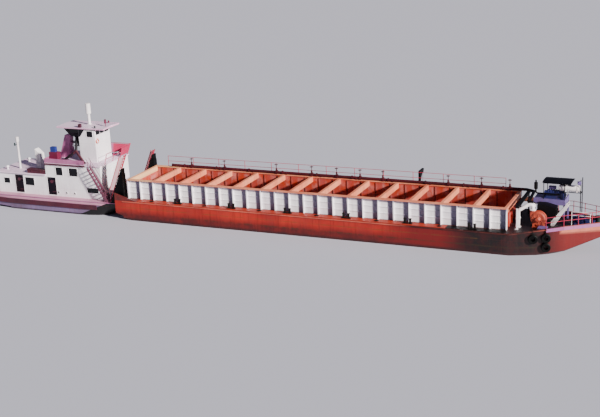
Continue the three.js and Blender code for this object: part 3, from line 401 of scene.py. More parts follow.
# %% Zones on the barge
WET = ((-40, -4, -2), (40, 4, 0.16), 0.10, "2c0b0c", 0.75)
LOWER = ((-40, -4, -2), (40, 4, 0.58), 0.3, "4c0808", 0.8)
FORE_RED = ((3.4, -6, -6), (20, 6, 6), 1.8, "6a0806", 0.92)
STAINED = ((6.4, -6, -6), (11.5, 6, 6), 1.1, "0e0202", 0.85)
SMEAR_HIGH = ((-16, -4, 0.58), (8, 4, 0.66), 0.07, "5c4414", 0.05)
SMEAR_LOW = ((-6, -4, 0.28), (11, 4, 0.38), 0.07, "30240c", 0.05)
# Painted sunlight: the bow's tip above the deck is salmon where the sun lights it.
SUNLIT_BOW = ((11.2, -6, 0.86), (14, 6, 6), 0.12, "c87058", 0.8)
DECK = ((-40, -4, 0.93), (9.2, 4, 3), 0.004, "4a1c1a", 0.7)
FOREDECK = ((9.1, -1.75, 0.93), (12.8, 1.75, 0.94), 0.004, "140a10", 0.85)
HOLD = ((-8.97, -1.222, -2), (8.97, 1.222, 2), 0.001, "8c1c0c", 0.9)
INSIDE = ((-9.3, -1.268, 0), (9.3, 1.268, 3), 0.002, "b03418", 0.85)
# Painted shade: a purple band under the coaming's rail, for the shadow of its flange.
RAIL_SHADE = ((-9.3, -1.6, 1.68), (9.3, 1.6, 2), 0.16, "4a3a70", 0.5)
SIDE_DECK = ((-8.5, -4, 0.9), (6.6, 4, 0.953), 0.001, "a83420", 0.85)
SUN_BLEACHED = ((-9.6, -2, 1.5), (-7.7, 2, 2), 0.25, "efc48e", 0.8)
FORE_STAIN = ((4.0, -6, -6), (11.2, 6, 6), 1.2, "300808", 0.9)
# Painted shade: the loading pipe's fore end is near black in the shadow of the bow gear.
SHADED_PIPE_END = ((9.2, -2, 1), (11, 2, 3), 0.1, "060304", 0.9)
print("the hold's zone reaches", HOLD[1])

# %% [markdown]
# The coats name their zones in the order in which they are laid over each other. The
# coaming also has painted shade behind each upright, for the shadow that the upright
# throws, and the knees are black forward of a leaning line and red behind it.

# %% Barge finishes
painted("hull_red", "b4240f", "98180c", 0.6, 0.26, 0.3, rust="6a1608", plates=(3.0, 0.62), zones=[
    LOWER, FORE_RED, STAINED, SUNLIT_BOW, WET, DECK, FOREDECK, HOLD, SMEAR_HIGH, SMEAR_LOW])
# The purple strip behind each upright is painted shade for its shadow.
painted("coaming_white", "fcf8fa", "f0e8ee", 0.2, 0.1, 0.12, zones=[RAIL_SHADE, INSIDE],
        upright_shade=(-9.12, 0.7, 0.30, "3c2c68", 0.75))
painted("rail_peach", "ec9470", "d87454", 0.4, 0.28, 0.2, rust="8a2c14", zones=[SUN_BLEACHED])
painted("strake_pink", "c8604c", "a84838", 0.4, 0.3, 0.3, rust="6a2018", zones=[FORE_STAIN])
painted("deck_black", "080505", "0e0808", 0.0, 0.2, 0.2, rust="301008", dirt="180e0c",
        zones=[SIDE_DECK], specular=0.2)
painted("pipe_maroon", "4c101c", "380c18", 0.2, 0.2, 0.2, zones=[SHADED_PIPE_END], specular=0.3)
painted("knee_black", "a02c44", "8a2238", 0.0, 0.12, 0.3, rust="4a1420",
        slant=(0.429, -10.325, 0.02, "010101"), specular=0.15)
print(sorted(FINISHES))

# %% [markdown]
# The pump is salmon, its pipes are white, and the suction pipe is bare rusty steel.
# The engines are dark blue with oil and soot on them.

# %% Machinery finishes
painted("pump_salmon", "bc4c34", "9c3c2a", 0.3, 0.3, 0.4)
painted("pipe_white", "f4eeee", "e2d8da", 0.28, 0.14, 0.2)
painted("pipe_rust", "6a3c30", "55302a", 0.5, 0.62, 0.3, rust="8a4426", metallic=0.25)
painted("engine_blue", "1f2460", "191a48", 0.1, 0.14, 0.45, dirt="141014")
painted("soot_black", "040304", "080607", 0.0, 0.15, 0.2, rust="28100a", dirt="140c0c", specular=0.15)
painted("canopy_black", "030308", "06060e", 0.0, 0.08, 0.15, rust="180c10", dirt="0c0a10", specular=0.12)
painted("platform_grey", "74649c", "5c4c80", 0.3, 0.22, 0.35)
painted("bronze", "94703a", "7c5c30", 0.0, 0.05, 0.5, rust="2e5a48", metallic=0.85)
print(len(FINISHES), "finishes")

# %% [markdown]
# The pusher's zones are the wetted band, the pink bulwark, and parts of the masts, the
# roof gear and the railing. The bay support's aft legs are black as painted shade.

# %% Zones on the pusher
BOOT = ((-40, -4, -2), (-9, 4, 0.10), 0.06, "1e1018", 0.8)
BULWARK = ((-40, -4, 0.53), (-9, 4, 3), 0.004, "c88aa2", 0.85)
CASING = ((-13.8, -0.15, 2.3), (-12.95, 0.2, 3.6), 0.002, "c070a0", 0.9)
# Painted shade: the bay support's aft legs are black where they stand in shadow.
SHADED_AFT_LEGS = ((-13.1, -1.1, 2.4), (-12.35, 1.1, 3.0), 0.03, "080308", 0.9)
STEM = ((-12.9, -1, 2.95), (-12.1, 1, 3.7), 0.05, "050206", 0.95)
TANK_TOP = ((-13.8, -1, 2.83), (-13.3, -0.6, 3.2), 0.004, "1c2e78", 0.95)
FORE_RAIL = ((-11.55, -2, 2), (-10, 2, 4), 0.1, "b82450", 0.9)
print("the pink bulwark starts at", BULWARK[0][2])

# %% [markdown]
# The pusher's houses are white with thin rust runs, its hull is violet grey, and its
# rails and rub rail are red and maroon. The lifebuoy is orange, and the side lamps are
# red and green.

# %% Pusher finishes
painted("house_white", "fdf9fb", "f0e8ee", 0.14, 0.07, 0.12, rust="a0604a", plates=(1.25, 1.1))
painted("roof_grey", "f4d8ec", "e4c4dc", 0.0, 0.08, 0.35, rust="a86a60", dirt="8a7c8a")
# Forward of a leaning line at the bow the hull is black: black paint, and painted shade for the shadow under
# the raked bow.
painted("pusher_grey", "7a668a", "66546f", 0.35, 0.2, 0.35, plates=(2.4, 0.5), zones=[BOOT, BULWARK],
        slant=(2.43, -11.85, 0.05, "020102"))
painted("stair_rose", "7c4058", "5c2c40", 0.3, 0.3, 0.3, rust="3c1420")
painted("rail_maroon", "4c0c26", "3c0a20", 0.2, 0.2, 0.3, zones=[SHADED_AFT_LEGS, CASING, STEM])
painted("roof_rose", "b87098", "9c5880", 0.2, 0.2, 0.2, zones=[FORE_RAIL])
painted("rail_red", "c0304c", "a02440", 0.1, 0.2, 0.15)
painted("door_dark", "0c0614", "08040e", 0.05, 0.05, 0.1, specular=0.2)
painted("locker_red", "780c3c", "640c32", 0.2, 0.2, 0.3, zones=[TANK_TOP])
painted("buoy_orange", "e0603c", "d05030", 0.05, 0.05, 0.2)
painted("drum_green", "12302c", "0e2624", 0.2, 0.25, 0.3)
painted("fascia_pink", "e8b8d4", "d8a0c0", 0.1, 0.1, 0.2)
painted("screen_pink", "f4c8cc", "e8b0b4", 0.1, 0.1, 0.15)
painted("rim_lilac", "b86898", "9c5c94", 0.3, 0.3, 0.3)
print(len(FINISHES), "finishes")

# %% [markdown]
# ## Coating the CAD solids
# Each solid already names its material slot in the record, and the finishes above use
# the same names. The solids arrive as loose triangles. A geometry-node modifier welds
# them and shades only the shallow angles smooth, which keeps a pipe round and a
# plate's edge crisp without touching the CAD mesh itself.

# %% Soft curves
CRISP_ANGLE = math.radians(32)
WELD = 0.00002
soften = bpy.data.node_groups.new("Soft curves, crisp edges", "GeometryNodeTree")
soften.interface.new_socket("Geometry", in_out="INPUT", socket_type="NodeSocketGeometry")
soften.interface.new_socket("Geometry", in_out="OUTPUT", socket_type="NodeSocketGeometry")
soft_in = soften.nodes.new("NodeGroupInput")
soft_out = soften.nodes.new("NodeGroupOutput")
weld = add(soften, "GeometryNodeMergeByDistance", {"Geometry": soft_in.outputs[0], "Distance": WELD})
smooth_faces = add(soften, "GeometryNodeSetShadeSmooth", {"Geometry": weld.outputs[0], "Shade Smooth": True},
                   domain="FACE")
edge_angle = add(soften, "GeometryNodeInputMeshEdgeAngle")
steep = add(soften, "FunctionNodeCompare", {0: edge_angle.outputs["Unsigned Angle"], 1: CRISP_ANGLE},
            data_type="FLOAT", operation="GREATER_THAN")
crisp = add(soften, "GeometryNodeSetShadeSmooth",
            {"Geometry": smooth_faces.outputs[0], "Selection": steep.outputs[0], "Shade Smooth": False},
            domain="EDGE")
soften.links.new(crisp.outputs[0], soft_out.inputs[0])
print("softening has", len(soften.nodes), "nodes")

# %% [markdown]
# One loop coats all the solids and gives each the modifier. The roof railing alone
# takes another coat than its slot's, because it is pink where the casings are maroon.

# %% Coats for the solids
OTHER_COATS = {"roof_railing": "roof_rose"}
slot_of = {entry["node"]: entry["material_slot"] for entry in frame["record"]["subparts"]}
for node, obj in frame["nodes"].items():
    coat = FINISHES[OTHER_COATS.get(node, slot_of[node])]
    for place in obj.material_slots:
        place.material = coat
    obj.modifiers.new("soft_curves", "NODES").node_group = soften
print("coated", len(frame["nodes"]), "solids")

# %% [markdown]
# ## Tools for new pieces
# Every new piece starts as a bmesh. A plate is a stretched cube between three spans,
# and a bar is a many-sided rod laid between two points. Three small functions write a
# span about a middle, out to one side, or upwards from its foot.

# %% Spans, plates and bars
def about(middle, half):
    """The span that reaches as far to both sides of its middle."""
    return middle - half, middle + half


def off(side, near, far):
    """The span between two distances from the centreline, on one side of the craft."""
    return side * near, side * far


def rise(low, length):
    """The span of that length which starts at low."""
    return low, low + length


def plate(bm, x, y, z):
    """A block between two x, two y and two z."""
    low, high = at(x[0], y[0], z[0]), at(x[1], y[1], z[1])
    stretch = Matrix.Diagonal((*[abs(v) for v in high - low], 1))
    return bmesh.ops.create_cube(bm, size=1, matrix=Matrix.Translation((low + high) / 2) @ stretch)["verts"]


def bar(bm, start, end, radius, sides=8):
    """A round or many-sided bar from one point to another."""
    a, b = at(*start), at(*end)
    aim = (b - a).to_track_quat("Z", "Y").to_matrix().to_4x4()
    bmesh.ops.create_cone(
        bm, cap_ends=True, segments=sides, radius1=radius * METRE, radius2=radius * METRE,
        depth=(b - a).length, matrix=Matrix.Translation((a + b) / 2) @ aim)


def edge_bars(bm, points, radius):
    """Round bars along a line of points, on both sides of the craft."""
    for side in SIDES:
        along = [(x, side * y, z) for x, y, z in points]
        for start, end in zip(along, along[1:]):
            bar(bm, start, end, radius, 10)


print("a span about 2 is", about(2, 0.5))

# %% [markdown]
# A ring is a small circle spun round an axis. Flanges and lids are bolted, so a loop
# sets hexagon heads round a circle, each of them a short bar with six sides.

# %% Rings and bolts
def ring(bm, centre, axis, radius, thick, steps=24, sides=8):
    """A round ring: a small circle spun about the axis."""
    hub, axis = at(*centre), Vector(axis).normalized()
    arm = axis.orthogonal().normalized()
    across = axis.cross(arm)
    small = Matrix((arm, axis, -across)).transposed().to_4x4()
    made = bmesh.ops.create_circle(bm, segments=sides, radius=thick * METRE,
                                   matrix=Matrix.Translation(hub + arm * radius * METRE) @ small)["verts"]
    edges = list({e for v in made for e in v.link_edges})
    bmesh.ops.spin(bm, geom=edges, cent=hub, axis=axis, angle=math.tau, steps=steps, use_merge=True)


def bolts(bm, centre, axis, radius, count, size=0.03):
    """Hexagon heads round a flange, on the side that the axis points to."""
    axis = Vector(axis).normalized()
    arm = axis.orthogonal().normalized()
    for i in range(count):
        foot = Vector(centre) + (Matrix.Rotation(math.tau * i / count, 3, axis) @ arm) * radius
        bar(bm, foot, foot + axis * size, size * 0.8, 6)


print("rings and bolts are ready")

# %% [markdown]
# Pipes on a dredger are lengths of straight tube welded to bends. A pipe here starts
# as a circle that is extruded along each straight and spun round each bend, and at
# the end both mouths are closed.

# %% Pipes with bends
BEND_STEPS = 6
STRAIGHT_ANGLE = 0.01
FLAT = 1e-5


def pipe_run(bm, points, radius, bend, sides=20):
    """A round pipe: a circle extruded along each straight and spun round each bend."""
    corners = [at(*p) for p in points]
    heading = (corners[1] - corners[0]).normalized()
    aim = heading.to_track_quat("Z", "Y").to_matrix().to_4x4()
    made = bmesh.ops.create_circle(bm, segments=sides, radius=radius * METRE,
                                   matrix=Matrix.Translation(corners[0]) @ aim)["verts"]
    edge_ring = list({e for v in made for e in v.link_edges})
    caps, here = [edge_ring], corners[0]
    for i in range(1, len(corners)):
        last = i == len(corners) - 1
        onward = heading if last else (corners[i + 1] - corners[i]).normalized()
        angle = heading.angle(onward)
        set_back = 0 if last else bend * METRE * math.tan(angle / 2)
        goal = corners[i] - heading * set_back
        grown = bmesh.ops.extrude_edge_only(bm, edges=edge_ring)["geom"]
        moved = [g for g in grown if isinstance(g, bmesh.types.BMVert)]
        bmesh.ops.translate(bm, vec=goal - here, verts=moved)
        edge_ring = end_ring(grown, goal, heading)
        here = goal
        if not last and angle > STRAIGHT_ANGLE:
            inward = (onward - heading * heading.dot(onward)).normalized()
            spun = bmesh.ops.spin(bm, geom=edge_ring, cent=goal + inward * bend * METRE,
                                  axis=heading.cross(onward), angle=angle, steps=BEND_STEPS)
            edge_ring = [g for g in spun["geom_last"] if isinstance(g, bmesh.types.BMEdge)]
            here, heading = corners[i] + onward * set_back, onward
    caps.append(edge_ring)
    for cap in caps:
        bmesh.ops.contextual_create(bm, geom=cap)


def end_ring(geom, place, heading):
    """The edges of geom that lie in the plane through place, square to heading."""
    return [g for g in geom if isinstance(g, bmesh.types.BMEdge)
            and all(abs((v.co - place).dot(heading)) < FLAT for v in g.verts)]


print("pipes are ready")

# %% [markdown]
# The last tool turns a bmesh into an object that rides on a CAD body, and prints how
# big it is. A piece that stands for a solid replaces it in the render, a bevel eases
# its edges, and a finish can differ from its slot's.

# %% Keeping a piece
MERGE = 0.00001


def keep(name, bm, slot, body="vessel", stands_for=(), finish=None, bevel=0.0):
    """Turns a bmesh into an object with its finish, body and slot."""
    bmesh.ops.remove_doubles(bm, verts=bm.verts, dist=MERGE)
    bmesh.ops.recalc_face_normals(bm, faces=bm.faces)
    mesh = bpy.data.meshes.new(name)
    bm.to_mesh(mesh)
    bm.free()
    mesh.shade_smooth()
    mesh.set_sharp_from_angle(angle=CRISP_ANGLE)
    obj = bpy.data.objects.new(name, mesh)
    bpy.context.scene.collection.objects.link(obj)
    mesh.materials.append(FINISHES[finish or slot])
    if bevel:
        soft = obj.modifiers.new("eased_edges", "BEVEL")
        soft.width, soft.segments, soft.limit_method = bevel * METRE, 2, "ANGLE"
    if body:
        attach(obj, body)
    if stands_for:
        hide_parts(*stands_for)
    size = [round(v / METRE, 2) for v in obj.dimensions]
    print(name, len(mesh.polygons), "faces", size, "real metres")
    return obj

# %% [markdown]
# ## Barge trim
# A half-round strake runs along the deck edge and takes the knocks of other craft. The
# coaming's panels carry two flat bars along them. Both are welded on after the plating
# is up, so they are separate pieces here too.

# %% Strake and bands
DECK_EDGE = [(-18.4, 3.64, 1.79), (18.6, 3.64, 1.79), (21.5, 2.66, 2.16)]
strake = bmesh.new()
edge_bars(strake, DECK_EDGE, 0.055)
keep("sheer_strake", strake, "rail_peach", finish="strake_pink")

BAND_LEVELS, BAND_WIDTH, BAND_END = (2.40, 2.98), 0.07, 18.18
bands = bmesh.new()
for side in SIDES:
    for low in BAND_LEVELS:
        plate(bands, about(0, BAND_END), off(side, 2.555, 2.615), rise(low, BAND_WIDTH))
keep("coaming_bands", bands, "coaming_white")

# %% [markdown]
# ## Ladders on the push knees
# The knees' slanted backs carry a ladder, so the crew can step from the pusher up to
# the barge's rail. Its stiles are CAD, because they give the knee its outline, and the
# rungs are added here. The starboard ladder is the taller one.

# %% Rungs
LADDER = {"x": -20.1, "z": 1.42, "slope": 2.33, "first": 0.2, "step": 0.3}


def ladder_x(z):
    """Where the ladders' stiles are at the height z."""
    return LADDER["x"] + (z - LADDER["z"]) / LADDER["slope"]


rungs = bmesh.new()
# Columns: side, how many rungs
for side, count in ((-1, 15), (1, 12)):
    for i in range(count):
        z = LADDER["z"] + LADDER["first"] + i * LADDER["step"]
        bar(rungs, (ladder_x(z), side * 2.7, z), (ladder_x(z), side * 3.1, z), 0.03, 6)
keep("knee_rungs", rungs, "rail_red")

# %% [markdown]
# ## Windows
# A window is an opening in the plate, a frame of flat bar round it, and a pane set
# halfway into the wall. The panes have their own shader: a plain Principled with
# transmission and a dark tint, smeared with salt and dust, so the sky shows in them
# only in places.

# %% Glass
glass = bpy.data.materials.new("window_glass")
glass.use_nodes = True
pane_tree = glass.node_tree
pane_shader = pane_tree.nodes["Principled BSDF"]
pane_place = add(pane_tree, "ShaderNodeTexCoord").outputs["Object"]
smear = spread(pane_tree, noise(pane_tree, pane_place, 5.0, 5.0), 0.4, 0.7)
tint = mixed(pane_tree, smear, rgb("040308"), rgb("100e1c"))
pane_tree.links.new(tint, pane_shader.inputs["Base Color"])
dull = math_node(pane_tree, "MULTIPLY", smear, 0.22)
pane_tree.links.new(dull, pane_shader.inputs["Roughness"])
pane_shader.inputs["Transmission Weight"].default_value = 0.35
pane_shader.inputs["IOR"].default_value = 1.5
pane_shader.inputs["Specular IOR Level"].default_value = 0.2
FINISHES["window_glass"] = glass
print("glass is ready")

# %% [markdown]
# The three openings in the block's front wall face the spray, and they get no panes.
# Storm covers shut them: steel lids with a raised panel, hung on two hinges each. In
# the photograph that wall is plain white.

# %% Storm covers
covers = bmesh.new()
for y in (-1.5, 0, 1.5):
    plate(covers, (-21.31, -21.26), about(y, 0.46), (3.34, 4.26))
    plate(covers, (-21.26, -21.245), about(y, 0.36), (3.44, 4.16))
    for hinge_y in (y - 0.3, y + 0.22):
        plate(covers, (-21.262, -21.235), rise(hinge_y, 0.08), (4.2, 4.32))
keep("storm_covers", covers, "house_white", bevel=0.006)

# %% [markdown]
# All the openings are cut in CAD. Two tables list those with glass, one for the walls
# along the craft and one for the walls across it. A loop builds all the frames as one
# piece and all the panes as another, as a welder would with one template.

# %% Frames and panes
# Columns: y of the outer face, x from, x to, sill, head
SIDE_WINDOWS = [
    (2.5, -32.9, -32.15, 2.35, 2.9), (2.5, -30.3, -29.2, 2.3, 3.1), (2.5, -26.5, -25.7, 3.55, 4.35),
    (2.5, -24.95, -23.95, 3.55, 4.35), (2.5, -23.0, -21.7, 2.0, 2.5), (1.3, -23.3, -22.6, 7.25, 7.85)]
# Columns: x of the outer face, which way it faces, y from, y to, sill, head
CROSS_WINDOWS = [
    (-33.6, -1, -1.6, -0.8, 2.3, 3.1), (-33.6, -1, 0.8, 1.6, 2.3, 3.1), (-22.35, 1, -1.1, -0.42, 7.42, 7.9),
    (-22.35, 1, -0.34, 0.34, 7.42, 7.9), (-22.35, 1, 0.42, 1.1, 7.42, 7.9)]
# How a frame and a pane sit: in the wall, out of it, frame width, pane depth, pane, lap
ROOT, PROUD, FRAME, SUNK, PANE, LAP = 0.01, 0.025, 0.055, 0.035, 0.015, 0.005


def surround(a0, a1, z0, z1):
    """The four bars round an opening, each as two spans."""
    wide = (a0 - FRAME, a1 + FRAME)
    return [(wide, (z0 - FRAME, z0)), (wide, (z1, z1 + FRAME)),
            ((a0 - FRAME, a0), (z0, z1)), ((a1, a1 + FRAME), (z0, z1))]


frames, panes = bmesh.new(), bmesh.new()
for face, a0, a1, z0, z1 in SIDE_WINDOWS:
    for side in SIDES:
        for along, height in surround(a0, a1, z0, z1):
            plate(frames, along, off(side, face - ROOT, face + PROUD), height)
        depth_span = off(side, face - SUNK, face - SUNK + PANE)
        plate(panes, (a0 - LAP, a1 + LAP), depth_span, (z0 - LAP, z1 + LAP))
for face, out, a0, a1, z0, z1 in CROSS_WINDOWS:
    for along, height in surround(a0, a1, z0, z1):
        plate(frames, (face - out * ROOT, face + out * PROUD), along, height)
    depth_span = (face - out * SUNK, face - out * (SUNK - PANE))
    plate(panes, depth_span, (a0 - LAP, a1 + LAP), (z0 - LAP, z1 + LAP))
keep("window_frames", frames, "house_white", bevel=0.006)
keep("window_panes", panes, "door_dark", finish="window_glass")

# %% [markdown]
# Three round ports let light into the engine space on each side. A port is a heavy
# ring bolted over a small hole: the ring is spun, and the glass is a thin disc.

# %% Round ports
PORTS = {"x": (-26.4, -25.45, -24.5), "z": 1.8, "radius": 0.13}
port_rings, port_discs = bmesh.new(), bmesh.new()
for x in PORTS["x"]:
    for side in SIDES:
        ring(port_rings, (x, side * 2.505, PORTS["z"]), PORT, PORTS["radius"], 0.03, 20, 6)
        bar(port_discs, (x, side * 2.495, PORTS["z"]), (x, side * 2.51, PORTS["z"]), 0.12, 18)
        bolts(port_rings, (x, side * 2.53, PORTS["z"]), PORT * side, PORTS["radius"], 6, 0.014)
keep("port_rings", port_rings, "house_white")
keep("port_glass", port_discs, "door_dark", finish="window_glass")

# %% [markdown]
# ## Doors
# The leaves move, so what is fixed to a leaf rides on the leaf's own body: a round
# light with its ring, a lever, and hinge straps. The frames round the openings belong
# to the houses. The strap on the hinge side stays clear of the jamb when it swings.

# %% Door furniture
# Columns: body, hinge x, width, side and y of the wall's outer face, sill
DOORS = [
    ("house_door_starboard", -30.5, 1.0, -1, 2.5, 1.5), ("house_door_port", -30.5, 1.0, 1, 2.5, 1.5),
    ("block_door_starboard", -26.6, 1.0, -1, 2.5, 1.5), ("tower_door", -22.9, 0.8, 1, 1.3, 4.9)]
# Heights above the sill: the light, the hinge straps, the lever's plates, the lintel
LIGHT, STRAPS, LEVERS, LINTEL = 1.35, (0.3, 1.4), (0.25, 0.9, 1.55), 1.8
DOOR_PROUD = 0.015
door_frames = bmesh.new()
for body, hinge, width, side, face, sill in DOORS:
    middle, jamb = hinge - width / 2, hinge - width
    outer = side * (face - ROOT)
    inner = outer - side * 0.01
    leaf = bmesh.new()
    ring(leaf, (middle, outer, sill + LIGHT), PORT, 0.15, 0.022, 20, 6)
    bar(leaf, (middle, inner, sill + LIGHT), (middle, outer + side * 0.006, sill + LIGHT), 0.14, 18)
    for lift in STRAPS:
        plate(leaf, (middle, hinge - 0.03), (inner, outer + side * 0.008), rise(sill + lift, 0.06))
    for lift in LEVERS:
        plate(leaf, (jamb + 0.04, jamb + 0.1), (inner, outer + side * 0.02), rise(sill + lift, 0.04))
    keep(f"{body}_furniture", leaf, "door_dark", body=body, bevel=0.004, finish="rail_maroon")
    for along, height in surround(jamb, hinge, sill, sill + LINTEL):
        plate(door_frames, along, off(side, face - ROOT, face + DOOR_PROUD), height)
keep("door_frames", door_frames, "house_white", bevel=0.004)

# %% [markdown]
# ## Tools for machinery
# Pumps, tanks, vents and bollards are turned shapes, so one more tool spins an outline
# of radius and distance pairs round an axis. A flange is a flat disc with bolt heads
# on both faces, because every joint in a dredge pipe is bolted.

# %% Turned bodies and flanges
def turned(bm, centre, axis, outline, steps=32):
    """A turned body: pairs of radius and distance along the axis, spun round it."""
    hub, axis = at(*centre), Vector(axis).normalized()
    arm = axis.orthogonal().normalized()
    corners = [bm.verts.new(hub + (arm * r + axis * d) * METRE) for r, d in outline]
    edges = [bm.edges.new(pair) for pair in zip(corners, corners[1:])]
    bmesh.ops.spin(bm, geom=edges, cent=hub, axis=axis, angle=math.tau, steps=steps, use_merge=True)


def flange(bm, centre, axis, radius, thick, count):
    """A flat flange about its middle, with bolt heads on both faces."""
    centre, axis = Vector(centre), Vector(axis).normalized()
    bar(bm, centre - axis * thick / 2, centre + axis * thick / 2, radius, 32)
    for way in (-1, 1):
        bolts(bm, centre + axis * way * thick / 2, axis * way, radius * 0.84, count, 0.025)


def between(a, b, share):
    """The point part of the way from a to b."""
    return Vector(a).lerp(Vector(b), share)


print("turned bodies and flanges are ready")

# %% [markdown]
# ## The dredge pump
# A sand pump is a flat snail shell of thick cast steel, because the sand wears it away
# from inside. Its cover is bolted on with a ring of heavy studs so that the liner can
# be changed. The outlet leaves the shell upwards, and the eye, where the sand comes
# in, faces port.

# %% Pump
EYE_X, EYE_Z = 20.5, 2.62
PUMP = Vector((EYE_X, -1.2, EYE_Z))
OUTLET_X, OUTLET_Y = 20.02, -1.2
SHELL = [
    (0, -0.25), (0.56, -0.25), (0.6, -0.2), (0.62, -0.1), (0.67, -0.1), (0.67, -0.015), (0.655, 0),
    (0.67, 0.015), (0.67, 0.1), (0.62, 0.1), (0.6, 0.2), (0.52, 0.25), (0.24, 0.25), (0.2, 0.3),
    (0.2, 0.48), (0.14, 0.55), (0, 0.55)]
RIBS = 6
pump = bmesh.new()
turned(pump, PUMP, STARBOARD, SHELL, 48)
bolts(pump, PUMP + STARBOARD * 0.1, STARBOARD, 0.645, 24, 0.025)
bolts(pump, PUMP + STARBOARD * 0.25, STARBOARD, 0.47, 12, 0.03)
for i in range(RIBS):
    aim = Matrix.Rotation(math.tau * i / RIBS, 3, STARBOARD) @ UP
    foot = PUMP + STARBOARD * 0.26
    bar(pump, foot + aim * 0.2, foot + aim * 0.42, 0.025, 4)
plate(pump, (19.84, 20.2), (-1.38, -1.02), (EYE_Z, 3.22))
flange(pump, (OUTLET_X, OUTLET_Y, 3.26), UP, 0.26, 0.07, 8)
turned(pump, (EYE_X, -0.95, EYE_Z), PORT, [(0.38, 0), (0.3, 0.06), (0.3, 0.2), (0, 0.2)])
for x in (20.05, 20.8):
    plate(pump, rise(x, 0.15), (-1.48, -0.92), (1.9, 2.4))
plate(pump, (20.0, 21.0), (-1.5, -0.9), (BARGE_DECK, 1.93))
keep("pump_volute", pump, "pump_salmon", stands_for=["pump_casing"])

# %% [markdown]
# ## Pipes for the sand
# The pump lifts sand and water into a white pipe that bends down to the deck, and
# through a branch into the long loading pipe. The pipe is bolted together in lengths
# that two people can carry, so it has a flange at each end and at its middle.

# %% Discharge pipe
BRANCH_Z = 3.66
delivery = bmesh.new()
pipe_run(delivery, [
    (OUTLET_X, OUTLET_Y, 3.301), (OUTLET_X, OUTLET_Y, 3.78), (19.6, -1.25, 3.72), (18.9, -1.6, 3.3),
    (18.9, -1.6, 1.9)], 0.15, 0.2, 24)
flange(delivery, (OUTLET_X, OUTLET_Y, 3.336), UP, 0.26, 0.06, 8)
flange(delivery, (18.9, -1.6, 1.906), UP, 0.24, 0.06, 8)
flange(delivery, (18.9, -1.6, 2.7), UP, 0.21, 0.08, 8)
bar(delivery, (OUTLET_X, -1.25, BRANCH_Z), (OUTLET_X, -1.001, BRANCH_Z), 0.12, 24)
flange(delivery, (OUTLET_X, -1.031, BRANCH_Z), PORT, 0.2, 0.06, 8)
keep("discharge_bend", delivery, "pipe_white", stands_for=["discharge_pipe"])

# %% [markdown]
# The loading pipe lies along the port rail and lets the mixture out through a gate
# valve over each part of the hold. A valve is a box with a bonnet, a rising stem in
# its yoke, and a handwheel with four spokes. Each length of pipe rests on a saddle.

# %% Loading pipe with its valves
PIPE_Y, PIPE_Z = 2.58, 3.91
VALVES = (-14.1, -10.5, -5.0, -1.4, 1.1, 3.4, 5.6, 11.7, 14.7, 17.2)
JOINTS = [-14.9 + 3.5 * i for i in range(10)]


def gate_valve(bm, x):
    """A gate valve with its stem and handwheel, on the loading pipe at x."""
    wheel = Vector((x, PIPE_Y, 4.65))
    plate(bm, about(x, 0.1), about(PIPE_Y, 0.15), (RAIL_TOP, 4.09))
    bar(bm, (x, PIPE_Y, 4.05), (x, PIPE_Y, 4.3), 0.08, 16)
    bar(bm, (x, PIPE_Y, 4.3), (x, PIPE_Y, 4.74), 0.03, 10)
    for dy in (-0.07, 0.07):
        bar(bm, (x, PIPE_Y + dy, 4.1), (x, PIPE_Y, 4.5), 0.02, 6)
    ring(bm, wheel, UP, 0.15, 0.018, 24, 8)
    for i in range(4):
        aim = Matrix.Rotation(math.tau * i / 4, 3, "Z") @ FORE
        bar(bm, wheel, wheel + aim * 0.15, 0.012, 6)


line = bmesh.new()
pipe_run(line, [
    (OUTLET_X, -0.999, BRANCH_Z), (OUTLET_X, -0.5, BRANCH_Z), (19.4, -0.1, BRANCH_Z),
    (19.4, 2.2, PIPE_Z), (18.7, PIPE_Y, PIPE_Z), (-16.2, PIPE_Y, PIPE_Z)], 0.13, 0.2)
flange(line, (OUTLET_X, -0.97, BRANCH_Z), PORT, 0.2, 0.06, 8)
flange(line, (-16.23, PIPE_Y, PIPE_Z), FORE, 0.155, 0.06, 8)
for x in JOINTS:
    flange(line, (x, PIPE_Y, PIPE_Z), FORE, 0.185, 0.08, 8)
    plate(line, (x + 0.4, x + 0.5), about(PIPE_Y, 0.15), (RAIL_TOP, PIPE_Z))
for x in VALVES:
    gate_valve(line, x)
keep("loading_line", line, "pipe_maroon", stands_for=["loading_pipe"])

# %% [markdown]
# ## Suction side
# Sand comes up a long pipe that swings down along the port side about a swivel, or
# trunnion, at the bow. Across the deck it is a fixed pipe on two saddles, with a strap
# over each and a bolted flange at each end and near its middle.

# %% Fixed suction pipe
inlet = bmesh.new()
bar(inlet, (EYE_X, -0.749, EYE_Z), (EYE_X, 3.719, EYE_Z), 0.2, 32)
# Columns: y, radius of the flange
for y, radius in ((-0.72, 0.3), (1.25, 0.28), (3.67, 0.32)):
    flange(inlet, (EYE_X, y, EYE_Z), PORT, radius, 0.08, 12)
for y in (0.2, 2.35):
    plate(inlet, about(EYE_X, 0.26), about(y, 0.1), (BARGE_DECK, EYE_Z))
    plate(inlet, about(EYE_X, 0.38), about(y, 0.15), (BARGE_DECK, 1.91))
    ring(inlet, (EYE_X, y, EYE_Z), PORT, 0.215, 0.025, 32, 6)
keep("suction_crossing", inlet, "pipe_rust", stands_for=["suction_inlet"])

# %% [markdown]
# The swinging part rides on its own CAD body, so it turns with the joint, and so do
# its flanges, its wear bands and the lug that its hoist wire is shackled to. Its head
# is the turned housing of the swivel, and its far end is the knuckle that carries the
# drag head.

